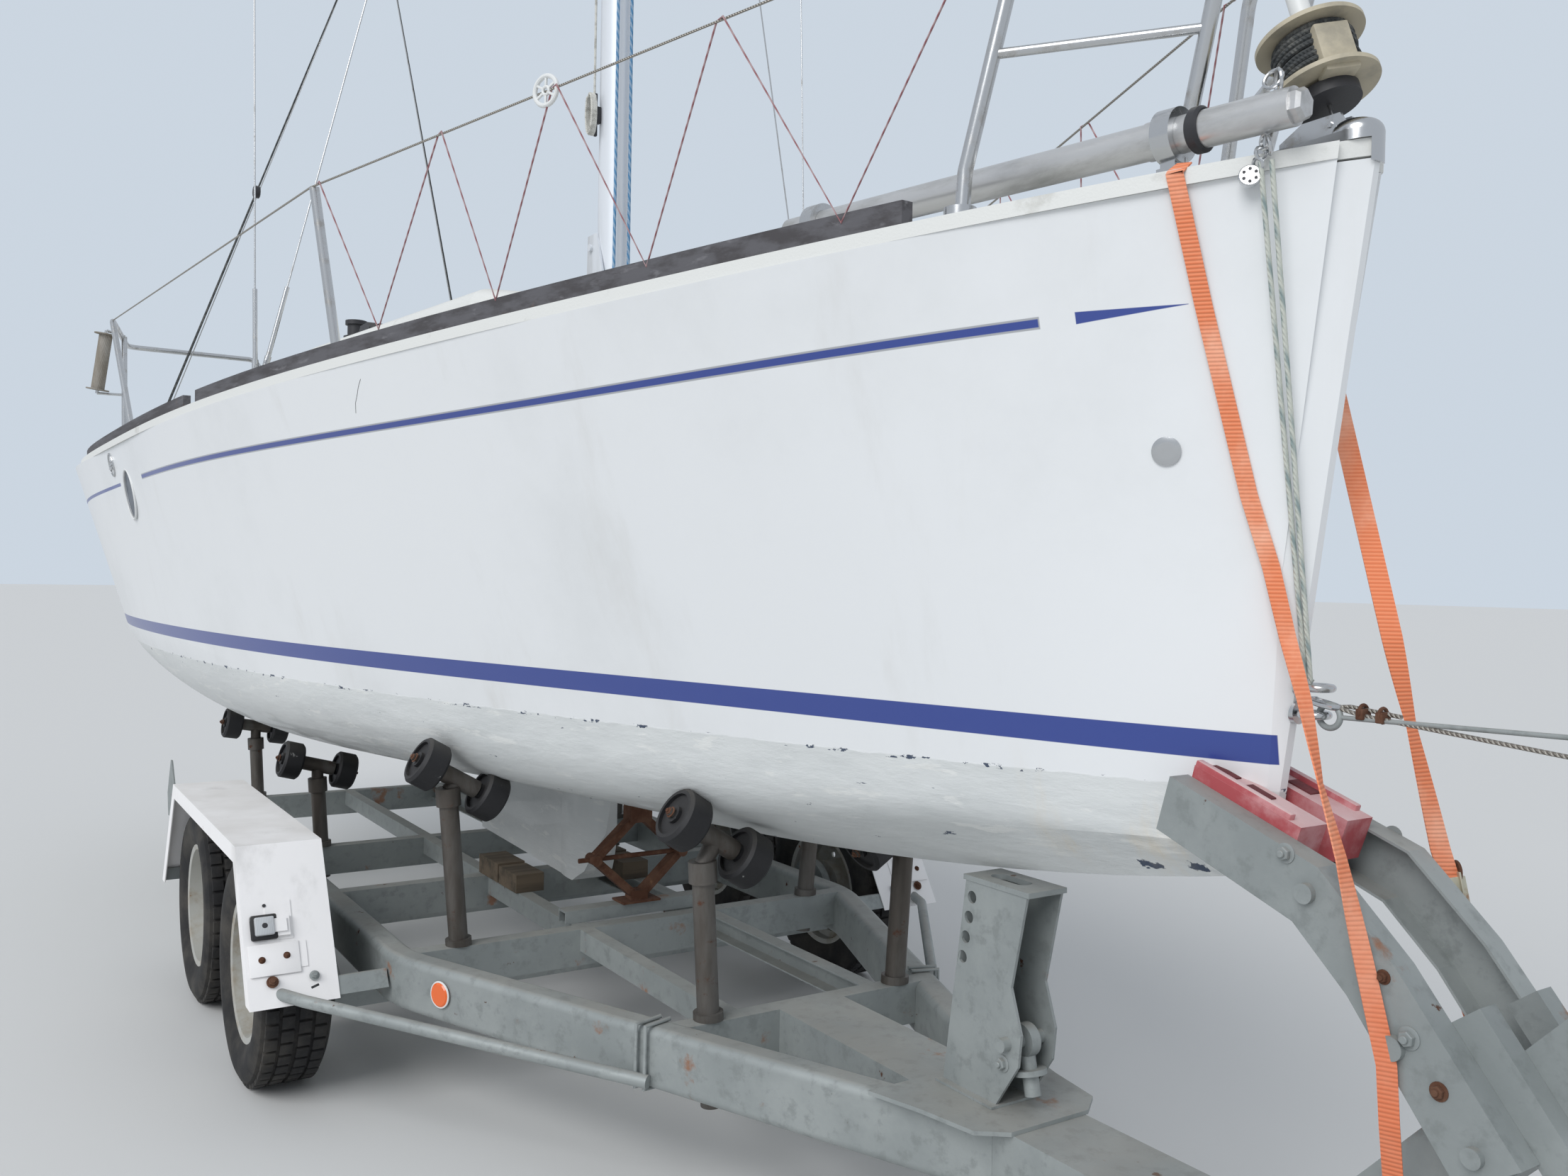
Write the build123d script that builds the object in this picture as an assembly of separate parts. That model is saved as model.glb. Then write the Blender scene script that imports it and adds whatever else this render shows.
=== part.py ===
from build123d import *
import math
import os

# Trailer sailer on a twin-axle road trailer, millimetres
# Frame: +X forward, +Y port, +Z up, origin on the ground under the middle of the outfit
# "aft" is always a distance behind the stem head

os.makedirs("parts", exist_ok=True)

# Overall lengths that place the outfit about the origin
hull_length = 6200.0
rudder_reach = 330.0
coupling_reach = 1250.0
bow_x = (hull_length + rudder_reach - coupling_reach) / 2
solids = {}


def fx(aft):
    return bow_x - aft


def both_sides(shape):
    return [shape, mirror(shape, about=Plane.XZ)]


def rod(start, end, radius):
    line = Line(start, end)
    return extrude(Plane(origin=start, z_dir=line % 0) * Circle(radius), line.length)


def ring_bar(start, end, radius, bore):
    line = Line(start, end)
    plane = Plane(origin=start, z_dir=line % 0)
    return extrude(plane * (Circle(radius) - Circle(bore)), line.length)


def bent_tube(points, radius, bend):
    path = FilletPolyline(*points, radius=bend)
    return sweep(Plane(origin=points[0], z_dir=path % 0) * Circle(radius), path=path)


def block(x_low, x_high, y_low, y_high, z_low, z_high):
    size = (x_high - x_low, y_high - y_low, z_high - z_low)
    centre = ((x_low + x_high) / 2, (y_low + y_high) / 2, (z_low + z_high) / 2)
    return Pos(*centre) * Box(*size)


def side_plate(points, y_low, y_high):
    # a plate cut to an outline of (x, z) points, between two widths
    outline = make_face(Polyline(*[(x, 0, z) for x, z in points], close=True))
    plate = extrude(outline, y_high - y_low, dir=(0, 1, 0))
    return Pos(0, y_low, 0) * plate


def beam(start, end, width, depth, wall=0.0):
    # rectangular bar or tube whose width is level and whose depth is square to its run
    line = Line(start, end)
    run = line % 0
    level = Vector(0, 0, 1).cross(run)
    plane = Plane(origin=start, x_dir=level, z_dir=run)
    profile = Rectangle(width, depth)
    if wall:
        profile -= Rectangle(width - 2 * wall, depth - 2 * wall)
    return extrude(plane * profile, line.length)


# Hull: columns are aft of stem at the sheer, aft at the keel line, keel height, chine half
# breadth, chine height, deck half breadth, deck edge height, bilge radius
hull_stations = [
    (0, 150, 950, 15, 985, 32, 2020, 8),
    (600, 600, 862, 128, 972, 400, 1966, 90),
    (1400, 1400, 768, 330, 900, 690, 1931, 200),
    (2400, 2400, 702, 612, 860, 955, 1899, 270),
    (3600, 3600, 668, 850, 830, 1130, 1873, 420),
    (5000, 5000, 728, 960, 870, 1200, 1860, 420),
    (6200, 6130, 870, 880, 962, 1090, 1868, 360),
]
hull_wall = 20.0
deck_thickness = 25.0
deck_crown = 0.055
forefoot_radius = 70.0
transom_wall = 30.0
stem_bevel_low = 4.0
stem_bevel_high = 13.0
stem_cut = 60.0
cove_drop = 200.0
port_aft = 4350.0
port_z = 1655.0
port_radius = 110.0


def corner_arc(before, corner, after, radius):
    # tangent points and the middle of the arc that rounds a corner, in (y, z)
    first = (before - corner).normalized()
    second = (after - corner).normalized()
    half = math.radians(first.get_angle(second)) / 2
    reach = radius / math.tan(half)
    centre = corner + (first + second).normalized() * (radius / math.sin(half))
    middle = centre + (corner - centre).normalized() * radius
    return corner + first * reach, middle, corner + second * reach


def hull_section(row, inset=0.0, raise_top=0.0):
    aft_top, aft_keel, keel_z, chine_y, chine_z, deck_y, edge_z, radius = row
    top_z = edge_z - deck_thickness
    slope = (aft_keel - aft_top) / (top_z - keel_z)

    def place(y, z):
        return Vector(fx(aft_top + slope * (top_z - z)), y, z)

    keel = Vector(0, keel_z + inset * 1.2, 0)
    chine = Vector(chine_y - inset, chine_z + inset * 0.8, 0)
    lean = (deck_y - chine_y) / (top_z - chine_z)
    deck = Vector(deck_y - inset + lean * raise_top, top_z + raise_top, 0)
    low, middle, high = corner_arc(keel, chine, deck, max(radius - inset, 4))
    star = [place(-p.X, p.Y) for p in (keel, low, middle, high, deck)]
    port = [place(p.X, p.Y) for p in (keel, low, middle, high, deck)]
    edges = [
        Line(star[0], star[1]),
        ThreePointArc(star[1], star[2], star[3]),
        Line(star[3], star[4]),
        Line(star[4], port[4]),
        Line(port[4], port[3]),
        ThreePointArc(port[3], port[2], port[1]),
        Line(port[1], port[0]),
    ]
    return make_face(Wire(edges))


def make_hull():
    outer = loft([hull_section(row) for row in hull_stations])
    # the hollow starts behind the solid stem and stops at the transom
    hollow_rows = [(430, 430, 960, 70, 1030, 300, 1980, 40)] + hull_stations[1:6]
    end = hull_stations[6]
    hollow_rows.append((end[0] - transom_wall, end[1] - transom_wall) + end[2:])
    walls = [hull_wall] * 5 + [hull_wall + 8, hull_wall + 28]
    hollow = loft([hull_section(row, wall, 40) for row, wall in zip(hollow_rows, walls)], ruled=True)
    # rounded forefoot where the stem turns into the keel line
    aft_keel = hull_stations[0][1]
    corner = Vector(fx(aft_keel), 0, hull_stations[0][2])
    stem_top = Vector(fx(0), 0, hull_stations[0][6])
    keel_aft = Vector(fx(600), 0, hull_stations[1][2])
    first, middle, second = corner_arc(stem_top, corner, keel_aft, forefoot_radius)
    outside = [Vector(corner.X + 60, 0, first.Z), Vector(corner.X + 60, 0, corner.Z - 80),
               Vector(second.X, 0, corner.Z - 80)]
    toe = make_face(Wire([
        ThreePointArc(first, middle, second), Line(second, outside[2]),
        Line(outside[2], outside[1]), Line(outside[1], outside[0]), Line(outside[0], first)]))
    cutter = Pos(0, -100, 0) * extrude(toe, 200, dir=(0, 1, 0))
    # softened edges down both sides of the stem
    stem_low = hull_stations[0]
    for side in (-1, 1):
        start = Vector(fx(aft_keel), side * stem_low[3], stem_low[2] + stem_bevel_low)
        end = Vector(fx(0), side * stem_low[5], stem_low[6] + deck_thickness)
        out = Vector(1, side, 0).normalized()
        start += out * (stem_cut / 2 - stem_bevel_low)
        end += out * (stem_cut / 2 - stem_bevel_high)
        run = end - start
        plane = Plane(origin=start, x_dir=Vector(0, 1, 0), z_dir=run.normalized())
        cutter += extrude(plane * Rot(0, 0, 45) * Rectangle(stem_cut, stem_cut), run.length)
    shell = outer - hollow - cutter
    port_hole = Pos(fx(port_aft), 0, port_z) * Rot(90, 0, 0) * Cylinder(port_radius - 18, 3000)
    return shell - port_hole, outer, cutter


hull, hull_body, bow_cutter = make_hull()
solids["hull"] = [hull]

# Deck, coachroof and cockpit, one moulding
roof_aft = 4170.0
roof_mid = 2450.0
roof_front = 1420.0
roof_wall = 22.0
cockpit_front = roof_aft + 10.0
cockpit_back = 6080.0
seat_half = 640.0
seat_z = 1700.0
footwell_half = 290.0
sole_z = 1420.0
moulding_wall = 18.0
companion_half = 290.0
companion_sill = 1640.0
companion_front = 3560.0
hatch_aft = 1000.0
hatch_size = 364.0
# columns: aft, foot half width, foot height, top half width, top height, corner radius
roof_stations = [
    (roof_front, 300, 1900, 265, 1992, 20),
    (roof_mid, 560, 1890, 455, 2190, 60),
    (roof_aft, 640, 1860, 520, 2262, 70),
]


def deck_section(row):
    aft_top = row[0]
    half = row[5]
    top_z = row[6]
    crown = 2 * half * deck_crown
    x = fx(aft_top)
    low_z = top_z - deck_thickness
    edges = [
        Line((x, -half, low_z), (x, -half, top_z)),
        ThreePointArc((x, -half, top_z), (x, 0, top_z + crown), (x, half, top_z)),
        Line((x, half, top_z), (x, half, low_z)),
        ThreePointArc((x, half, low_z), (x, 0, low_z + crown), (x, -half, low_z)),
    ]
    return make_face(Wire(edges))


def roof_section(row, inset=0.0, stretch=0.0):
    aft, foot_y, foot_z, top_y, top_z, radius = row
    x = fx(aft + stretch)
    foot_y -= inset
    top_y -= inset
    top_z -= inset
    points = [(x, -foot_y, foot_z), (x, -top_y, top_z), (x, top_y, top_z), (x, foot_y, foot_z)]
    plane = Plane(origin=(x, 0, 0), x_dir=(0, 1, 0), z_dir=(1, 0, 0))
    flat = make_face(Polyline(*[(p[1], p[2]) for p in points], close=True))
    tops = flat.vertices().sort_by(Axis.Y)[-2:]
    return plane * fillet(tops, radius)


def make_deck():
    plate = loft([deck_section(row) for row in hull_stations])
    roof = loft([roof_section(row) for row in roof_stations], ruled=True)
    front, mid, back = roof_stations
    hollow_rows = [(front[0] + 160, 320, 1700, 270, 2010, 20), (mid[0], 560, 1700, 455, mid[4], 50),
                   (back[0], 640, 1700, 520, back[4], 60)]
    hollow = loft([roof_section(row, roof_wall) for row in hollow_rows], ruled=True)
    hollow -= block(fx(roof_aft) - 10, fx(roof_aft) + 22, -900, 900, 1600, 2400)
    well = block(fx(cockpit_back), fx(cockpit_front), -seat_half, seat_half, seat_z, 2300)
    foot = block(fx(cockpit_back), fx(cockpit_front), -footwell_half, footwell_half, sole_z, seat_z + 1)
    w = moulding_wall
    well_out = block(fx(cockpit_back) - w, fx(cockpit_front) + w, -seat_half - w, seat_half + w,
                     seat_z - w, 1875)
    foot_out = block(fx(cockpit_back) - w, fx(cockpit_front) + w, -footwell_half - w,
                     footwell_half + w, sole_z - w, seat_z)
    body = plate + roof - hollow + well_out + foot_out
    # coamings beside the seats, sloping down to the stern
    coaming = side_plate([(fx(4100), 1880), (fx(4100), 2120), (fx(5000), 2050), (fx(6020), 1990),
                          (fx(6060), 1880)], seat_half, seat_half + 110)
    coaming = chamfer(coaming.edges().filter_by(GeomType.LINE).group_by(Axis.Z)[-1], 20)
    for side in both_sides(coaming):
        body += side
    body = body - well - foot
    # companionway through the bulkhead and the roof, and the foredeck hatch opening
    body -= block(fx(cockpit_front) - 5, fx(cockpit_front) + w + 30, -companion_half,
                  companion_half, companion_sill, 2400)
    body -= block(fx(cockpit_front) - 5, fx(companion_front), -companion_half,
                  companion_half, 2150, 2400)
    half = hatch_size / 2 - 30
    body -= block(fx(hatch_aft) - half, fx(hatch_aft) + half, -half, half, 1850, 2150)
    return body - bow_cutter, roof


deck, roof_body = make_deck()
window_front = 2620.0
window_back = 3860.0
window_low = 1985.0
window_high = 2105.0
window_shape = side_plate([(fx(window_front), window_low + 20), (fx(window_front + 120), window_high - 10),
                           (fx(window_back), window_high + 30), (fx(window_back + 60), window_low - 10)],
                          -900, 900)
split_x = fx(cockpit_front + 2)
solids["deck"] = [(deck - window_shape) & block(split_x, fx(-100), -2000, 2000, 1000, 3000)]
solids["cockpit"] = [deck & block(fx(7000), split_x, -2000, 2000, 1000, 3000)]
pane_shell = window_shape & roof_body
pane_core = loft([roof_section(row, 9, 0) for row in roof_stations], ruled=True)
panes = pane_shell - pane_core
solids["cabin_windows"] = list(panes.solids())


# Seats: pieces on the deck, the roof and the hull are cut to the surface that carries them
seat = 0.3


def under_deck_section(row):
    x = fx(row[0])
    half = row[5]
    top_z = row[6] + 2 * seat
    crown = 2 * half * deck_crown
    return make_face(Wire([
        Line((x, -half, 1500), (x, -half, top_z)),
        ThreePointArc((x, -half, top_z), (x, 0, top_z + crown), (x, half, top_z)),
        Line((x, half, top_z), (x, half, 1500)),
        Line((x, half, 1500), (x, -half, 1500))]))


deck_cutter = loft([under_deck_section(row) for row in hull_stations])
roof_cutter = Pos(0, 0, seat) * roof_body
hull_cutter = Pos(seat, 0, -seat) * hull_body


def between_rows(aft, column):
    for low, high in zip(hull_stations, hull_stations[1:]):
        if aft <= high[0]:
            share = (aft - low[0]) / (high[0] - low[0])
            return low[column] + share * (high[column] - low[column])
    return hull_stations[-1][column]


def deck_z(aft, y):
    half = between_rows(aft, 5)
    return between_rows(aft, 6) + 2 * half * deck_crown * (1 - (y / half) ** 2)


def roof_z(aft):
    low, high = roof_stations[1], roof_stations[2]
    return low[4] + (aft - low[0]) / (high[0] - low[0]) * (high[4] - low[4])


# Toe rails along the deck edge
toe_inset = 20.0
toe_width = 22.0
toe_height = 46.0
toe_runs = [(600, 3200), (3330, 5600)]


def toe_section(row):
    x = fx(row[0])
    outer = row[5] - toe_inset
    inner = outer - toe_width
    low = row[6] - 30
    high = row[6] + toe_height
    return make_face(Polyline((x, inner, low), (x, outer, low), (x, outer, high),
                              (x, inner, high), close=True))


toe_bar = loft([toe_section(row) for row in hull_stations])
solids["toe_rails"] = []
for front, back in toe_runs:
    piece = (toe_bar & block(fx(back), fx(front), 0, 2000, 1700, 2300)) - deck_cutter
    solids["toe_rails"] += both_sides(piece)

# Bow casting, stay clevis, bow eyes and the sprit bracket
stay_foot = Vector(fx(67), 0, 2058)
mast_aft = 2520.0
mast_x_half = 57.5
mast_y_half = 42.5
mast_wall = 3.0
mast_top = 10180.0
hounds_z = 9200.0
stay_head = Vector(fx(mast_aft) + mast_x_half, 0, hounds_z)
stay_run = (stay_head - stay_foot).normalized()
wire_radius = 3.0
sprit_aft_end = Vector(fx(1100), -270, 2082)
sprit_tip = Vector(fx(60), -126, 2056)
sprit_radius = 27.5
sprit_wall = 3.0
sprit_run = (sprit_tip - sprit_aft_end).normalized()
bush_radius = 33.0
clamp_radius = 41.0
clamp_spots = [0.83, 0.08]
eye_heights = [1240.0, 1200.0]
eye_bar = 6.0
eye_radius = 19.0
nose_radius = 36.0
nose_x = fx(32)
nose_top = 2056.0
shoe_top = 2036.0
shoe = block(fx(230), nose_x, -nose_radius, nose_radius, 1990, shoe_top)
shoe = chamfer(shoe.edges().filter_by(Axis.Y).sort_by(Axis.Z)[-2:].sort_by(Axis.X)[0], 14)
nose = Pos(nose_x, 0, 1990) * extrude(Circle(nose_radius), nose_top - 1990)
nose = fillet(nose.edges().sort_by(Axis.Z)[-1], 20)
nose -= block(nose_x - 60, nose_x - 14, -11, 11, shoe_top, nose_top + 10)
shoe = (shoe + nose) - deck_cutter
cheek = side_plate([(fx(150), shoe_top - 4), (fx(150), 2050), (fx(112), 2071), (fx(50), 2071),
                    (fx(40), 2052), (fx(40), shoe_top - 4)], 11, 17)
stem_fitting = shoe + cheek + mirror(cheek, about=Plane.XZ)
pin_radius = 5.0
stem_fitting += Pos(stay_foot) * Rot(90, 0, 0) * Cylinder(pin_radius, 40)
fittings = [stem_fitting]
stem_slope = hull_stations[0][1] / (hull_stations[0][6] - hull_stations[0][2])
for z in eye_heights:
    stem_x = fx((hull_stations[0][6] - z) * stem_slope)
    eye = Pos(stem_x + 14 + eye_radius, 0, z) * Torus(eye_radius, eye_bar)
    washer = Pos(stem_x + 4 + seat, 0, z) * Rot(0, 90, 0) * Cylinder(17, 8)
    eye = eye + washer + rod((stem_x + 4, 0, z), (stem_x + 16, 0, z), eye_bar)
    fittings.append(eye - Pos(seat, 0, 0) * hull_body)
solids["stem_fittings"] = fittings

sprit = ring_bar(sprit_aft_end, sprit_tip, sprit_radius, sprit_radius - sprit_wall)
cap_end = sprit_tip + sprit_run * 14
sprit += rod(sprit_tip - sprit_run * 20, cap_end, sprit_radius)
solids["sprit"] = [sprit]
clamps = []
for share in clamp_spots:
    middle = sprit_aft_end + (sprit_tip - sprit_aft_end) * share
    low = middle - sprit_run * 16
    high = middle + sprit_run * 16
    collar = ring_bar(low, high, clamp_radius, sprit_radius + seat)
    foot = block(middle.X - 14, middle.X + 14, middle.Y - 12, middle.Y + 12, 1950, middle.Z - 32)
    pad = block(middle.X - 18, middle.X + 18, middle.Y - 16, middle.Y + 16, 1950,
                deck_z(bow_x - middle.X, middle.Y) + 8)
    clamps.append(collar + ((foot + pad) - deck_cutter))
solids["stem_fittings"] += clamps

# Furler: drum, foil and stay lie on one slanted line
drum_radius = 78.0
drum_hub = 44.0
disc_thickness = 7.0
drum_height = 92.0
foil_radius = 15.0
foil_bore = wire_radius + 0.4
foil_end = 330.0
cup_low = stay_foot + stay_run * 36
cup_high = cup_low + stay_run * 18
drum_low = cup_high + stay_run * 6
drum_high = drum_low + stay_run * drum_height
cup = ring_bar(cup_low, cup_high, 46, wire_radius + seat)
solids["furler_cup"] = [cup]
drum = ring_bar(drum_low, drum_high, drum_hub, foil_bore)
drum += ring_bar(drum_low, drum_low + stay_run * disc_thickness, drum_radius, foil_bore)
drum += ring_bar(drum_high - stay_run * disc_thickness, drum_high, drum_radius, foil_bore)
solids["furler_drum"] = [drum]
foil_low = drum_high + stay_run * seat
foil_high = stay_head - stay_run * foil_end
solids["furler_foil"] = [ring_bar(foil_low, foil_high, foil_radius, foil_bore)]

# Mast with its foot, spreaders and masthead
step_z = roof_z(mast_aft) + 12
mast_x = fx(mast_aft)
mast_outline = Ellipse(mast_x_half, mast_y_half)
mast_bore = Ellipse(mast_x_half - mast_wall, mast_y_half - mast_wall)
mast = Pos(mast_x, 0, step_z) * extrude(mast_outline - mast_bore, mast_top - step_z)
mast_cutter = Pos(mast_x, 0, step_z) * extrude(Ellipse(mast_x_half + seat, mast_y_half + seat),
                                               mast_top - step_z)
solids["mast"] = [mast]
head_thickness = 14.0
crane_reach = 130.0
head_plate = Pos(mast_x, 0, mast_top + seat) * extrude(Ellipse(62, 47), head_thickness)
crane = block(mast_x - mast_x_half - crane_reach, mast_x, -8, 8, mast_top + 1, mast_top + head_thickness)
solids["mast"].append(head_plate + crane)
cheek_gap = mast_y_half + seat
heel = block(mast_x - 95, mast_x + 80, -cheek_gap - 30, cheek_gap + 30, 2150, step_z - seat)
for low_y in (cheek_gap, -cheek_gap - 6):
    heel += side_plate([(mast_x - 80, step_z - 4), (mast_x - 74, 2425), (mast_x - 10, 2425),
                        (mast_x + 50, 2260), (mast_x + 60, step_z - 4)], low_y, low_y + 6)
for low_y in (cheek_gap + 5, -cheek_gap - 15):
    heel += Pos(mast_x - 45, low_y + 5, 2385) * Rot(90, 0, 0) * Cylinder(11, 10)
solids["mast_foot"] = [heel - roof_cutter]
spreader_tip = Vector(fx(3100), 970, 6000)
spreader_root = Vector(mast_x - 20, 20, 5975)
tip_run = (spreader_tip - spreader_root).normalized()
arm = beam(spreader_root, spreader_tip - tip_run * 4, 42, 14) - mast_cutter
solids["spreaders"] = both_sides(arm)

# Chainplates and standing rigging
plate_thickness = 5.0
chain_inset = 66.0
# aft, height at the mast, whether it passes over the spreader
chain_rows = [(2870, 9180, 1), (2790, 5880, 0)]
shroud_wire = 2.5
fork_radius = 9.0
screw_length = 240.0
chain_pin = 4.0
solids["chainplates"] = []
solids["shrouds"] = []


def rigging_screw(pin_point, target):
    # fork with its pin, bottle screw body and the wire above it
    run = (target - pin_point).normalized()
    fork = rod(pin_point - run * 12, pin_point + run * 34, fork_radius)
    slot = plate_thickness / 2 + seat
    fork -= block(pin_point.X - 30, pin_point.X + 30, pin_point.Y - slot, pin_point.Y + slot,
                  pin_point.Z - 40, pin_point.Z + 20)
    fork += Pos(pin_point) * Rot(90, 0, 0) * Cylinder(chain_pin, 22)
    fork += rod(pin_point + run * 30, pin_point + run * screw_length, 6.5)
    return fork + rod(pin_point + run * (screw_length - 10), target, shroud_wire)


for aft, head_z, over_spreader in chain_rows:
    y = between_rows(aft, 5) - chain_inset
    base = deck_z(aft, y)
    plate = block(fx(aft) - 13, fx(aft) + 13, y - plate_thickness / 2, y + plate_thickness / 2,
                  base - 30, base + 66) - deck_cutter
    pin_point = Vector(fx(aft), y, base + 50)
    plate -= Pos(pin_point) * Rot(90, 0, 0) * Cylinder(chain_pin + seat, 20)
    solids["chainplates"] += both_sides(plate)
    head = Vector(mast_x - 12, 40, head_z)
    if over_spreader:
        knee = spreader_tip + Vector(0, shroud_wire + seat, 0)
        wire = rigging_screw(pin_point, knee) + Pos(knee) * Sphere(shroud_wire)
        wire += rod(knee, head, shroud_wire)
    else:
        wire = rigging_screw(pin_point, head)
    solids["shrouds"] += both_sides(wire - mast_cutter)
forestay = rod(stay_foot + stay_run * (pin_radius + seat), stay_head, wire_radius) - mast_cutter
bridle_foot = Vector(fx(6050), 850, 1)
bridle_z = deck_z(6050, 850)
bridle_foot.Z = bridle_z
split = Vector(fx(5200), 0, 4600)
crane_end = Vector(mast_x - mast_x_half - crane_reach + 12, 0, mast_top + seat)
plate = block(bridle_foot.X - 13, bridle_foot.X + 13, 850 - plate_thickness / 2,
              850 + plate_thickness / 2, bridle_z - 30, bridle_z + 60) - deck_cutter
pin_point = Vector(bridle_foot.X, 850, bridle_z + 46)
plate -= Pos(pin_point) * Rot(90, 0, 0) * Cylinder(chain_pin + seat, 20)
solids["chainplates"] += both_sides(plate)
leg = rigging_screw(pin_point, split)
bridle = side_plate([(split.X - 30, 4565), (split.X + 34, 4575), (split.X + 8, 4640),
                     (split.X - 6, 4640)], -3, 3)
bridle += leg + mirror(leg, about=Plane.XZ)
bridle += rod(split, crane_end, shroud_wire) - block(mast_x - 300, mast_x, -30, 30, mast_top, mast_top + 60)
solids["stays"] = [forestay, bridle]

# Pulpit, pushpit and stanchions in bent tube
tube_radius = 12.5
tube_bend = 60.0
foot_radius = 27.0
pulpit_top = 2470.0
aft_foot = (fx(530), 315, 1930)
knee = (fx(522), 313, 2050)
pulpit_points = [aft_foot, knee, (fx(425), 270, pulpit_top), (fx(85), 72, pulpit_top)]
pulpit_points += [(x, -y, z) for x, y, z in reversed(pulpit_points)]
pulpit = bent_tube(pulpit_points, tube_radius, tube_bend)
leg = rod((fx(295), 90, 1960), (fx(150), 108, pulpit_top), tube_radius)
bar = rod((fx(480), 295, 2230), (fx(218), 100, 2230), 8)
pulpit_feet = [(530, 315), (295, 90)]
for side in both_sides(leg):
    pulpit += side
for side in both_sides(bar):
    pulpit += side
for aft, y in pulpit_feet:
    foot = Pos(fx(aft), y, deck_z(aft, y)) * Cylinder(foot_radius, 22)
    for side in both_sides(foot):
        pulpit += side
solids["pulpit"] = [pulpit - deck_cutter]
rail_z = 2480.0
push_points = [(fx(4900), 1055, 1900), (fx(5400), 1095, rail_z), (fx(6130), 960, rail_z),
               (fx(6150), 330, rail_z), (fx(6120), 330, 1960)]
pushpit = bent_tube(push_points, tube_radius, tube_bend)
pushpit += rod((fx(5800), 1000, 1880), (fx(5830), 1005, rail_z), tube_radius)
for aft, y in [(4900, 1055), (5800, 1000), (6120, 330)]:
    pushpit += Pos(fx(aft), y, deck_z(aft, y)) * Cylinder(foot_radius, 22)
solids["pushpit"] = both_sides(pushpit - deck_cutter)
stanchion_inset = 76.0
# aft at the foot, aft at the top, outward lean
stanchion_rows = [(2310, 2330, 66)]
stanchion_top = 2356.0
solids["stanchions"] = []
for aft, top_aft, lean in stanchion_rows:
    y = between_rows(aft, 5) - stanchion_inset
    top_y = y + lean
    foot_z = deck_z(aft, y)
    post = rod((fx(aft), y, foot_z - 40), (fx(top_aft), top_y, stanchion_top), tube_radius)
    post += Pos(fx(aft), y, foot_z + 20) * Cylinder(18, 60)
    post += Pos(fx(aft), y, foot_z) * Cylinder(24, 14)
    solids["stanchions"] += both_sides(post - deck_cutter)

# Webbing reel on the starboard pushpit leg, spinning on its spindle
reel_middle = Vector(fx(5825), -1100, 2350)
reel_run = Vector(0.08, 0.12, 1).normalized()
reel_radius = 50.0
reel_core = 29.0
reel_height = 270.0
reel_flange = 5.0
spindle_radius = 8.0
spindle_low = reel_middle - reel_run * (reel_height / 2 + 16)
spindle_high = reel_middle + reel_run * (reel_height / 2 + 16)
reel_low = reel_middle - reel_run * (reel_height / 2)
reel_high = reel_middle + reel_run * (reel_height / 2)
reel = ring_bar(reel_low, reel_high, reel_core, spindle_radius + 0.4)
for start in (reel_low, reel_high - reel_run * reel_flange):
    reel += ring_bar(start, start + reel_run * reel_flange, reel_radius, spindle_radius + 0.4)
solids["webbing_reel"] = [reel]
stand = rod(spindle_low, spindle_high, spindle_radius)
for end, leg_z in ((spindle_low, spindle_low.Z), (spindle_high, rail_z)):
    stand += rod(end, (fx(5816), -1003, leg_z), 6)
star_half = solids["pushpit"][1]
solids["pushpit"][1] = star_half + stand

# Deck gear: hatch, companionway slide, washboards, winches
hatch_gap = 0.4
hatch_frame = 26.0
frame_half = hatch_size / 2
hatch_top = deck_z(hatch_aft, 0) + 18
frame = block(fx(hatch_aft) - frame_half, fx(hatch_aft) + frame_half, -frame_half, frame_half,
              1900, hatch_top)
inner = frame_half - hatch_frame
frame -= block(fx(hatch_aft) - inner, fx(hatch_aft) + inner, -inner, inner, 1800, 2200)
lid_thickness = 22.0
knuckle_radius = 8.0
hatch_hinge = Vector(fx(hatch_aft) + frame_half + 12, 0, hatch_top + 6)
frame_feet = block(fx(hatch_aft) + frame_half - 6, hatch_hinge.X + knuckle_radius, -150, -110, 1900,
                   hatch_top + 6)
frame_feet = [frame_feet, mirror(frame_feet, about=Plane.XZ)]
for foot in frame_feet:
    frame += foot
hatch_pin = 3.0
frame += Pos(hatch_hinge) * Rot(90, 0, 0) * Cylinder(hatch_pin, 300)
solids["forehatch_frame"] = [frame - deck_cutter]
lid = block(fx(hatch_aft) - frame_half - 8, fx(hatch_aft) + frame_half + 4, -frame_half - 8,
            frame_half + 8, hatch_top + hatch_gap, hatch_top + lid_thickness)
lid = fillet(lid.edges().filter_by(Axis.Z), 30)
lid = chamfer(lid.faces().sort_by(Axis.Z)[-1].edges(), 6)
lid -= block(hatch_hinge.X - 20, hatch_hinge.X + 30, -156, -104, 1900, 2300)
lid -= block(hatch_hinge.X - 20, hatch_hinge.X + 30, 104, 156, 1900, 2300)
knuckle = Pos(hatch_hinge) * Rot(90, 0, 0) * Cylinder(knuckle_radius, 190)
knuckle += block(hatch_hinge.X - 22, hatch_hinge.X, -95, 95, hatch_hinge.Z, hatch_hinge.Z + knuckle_radius)
lid = lid + knuckle - Pos(hatch_hinge) * Rot(90, 0, 0) * Cylinder(hatch_pin + hatch_gap, 320)
solids["forehatch"] = [lid]
slide_half = companion_half + 34.0
slide_gap = 5.5
slide_thickness = 20.0
runner_height = 26.0
roof_pitch = math.degrees(math.atan2(roof_z(roof_aft) - roof_z(roof_mid), roof_aft - roof_mid))
slide_front = companion_front - 50.0
slide_back = roof_aft + 20.0
slide_travel = 460.0
slide_middle = (slide_front + slide_back) / 2


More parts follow.
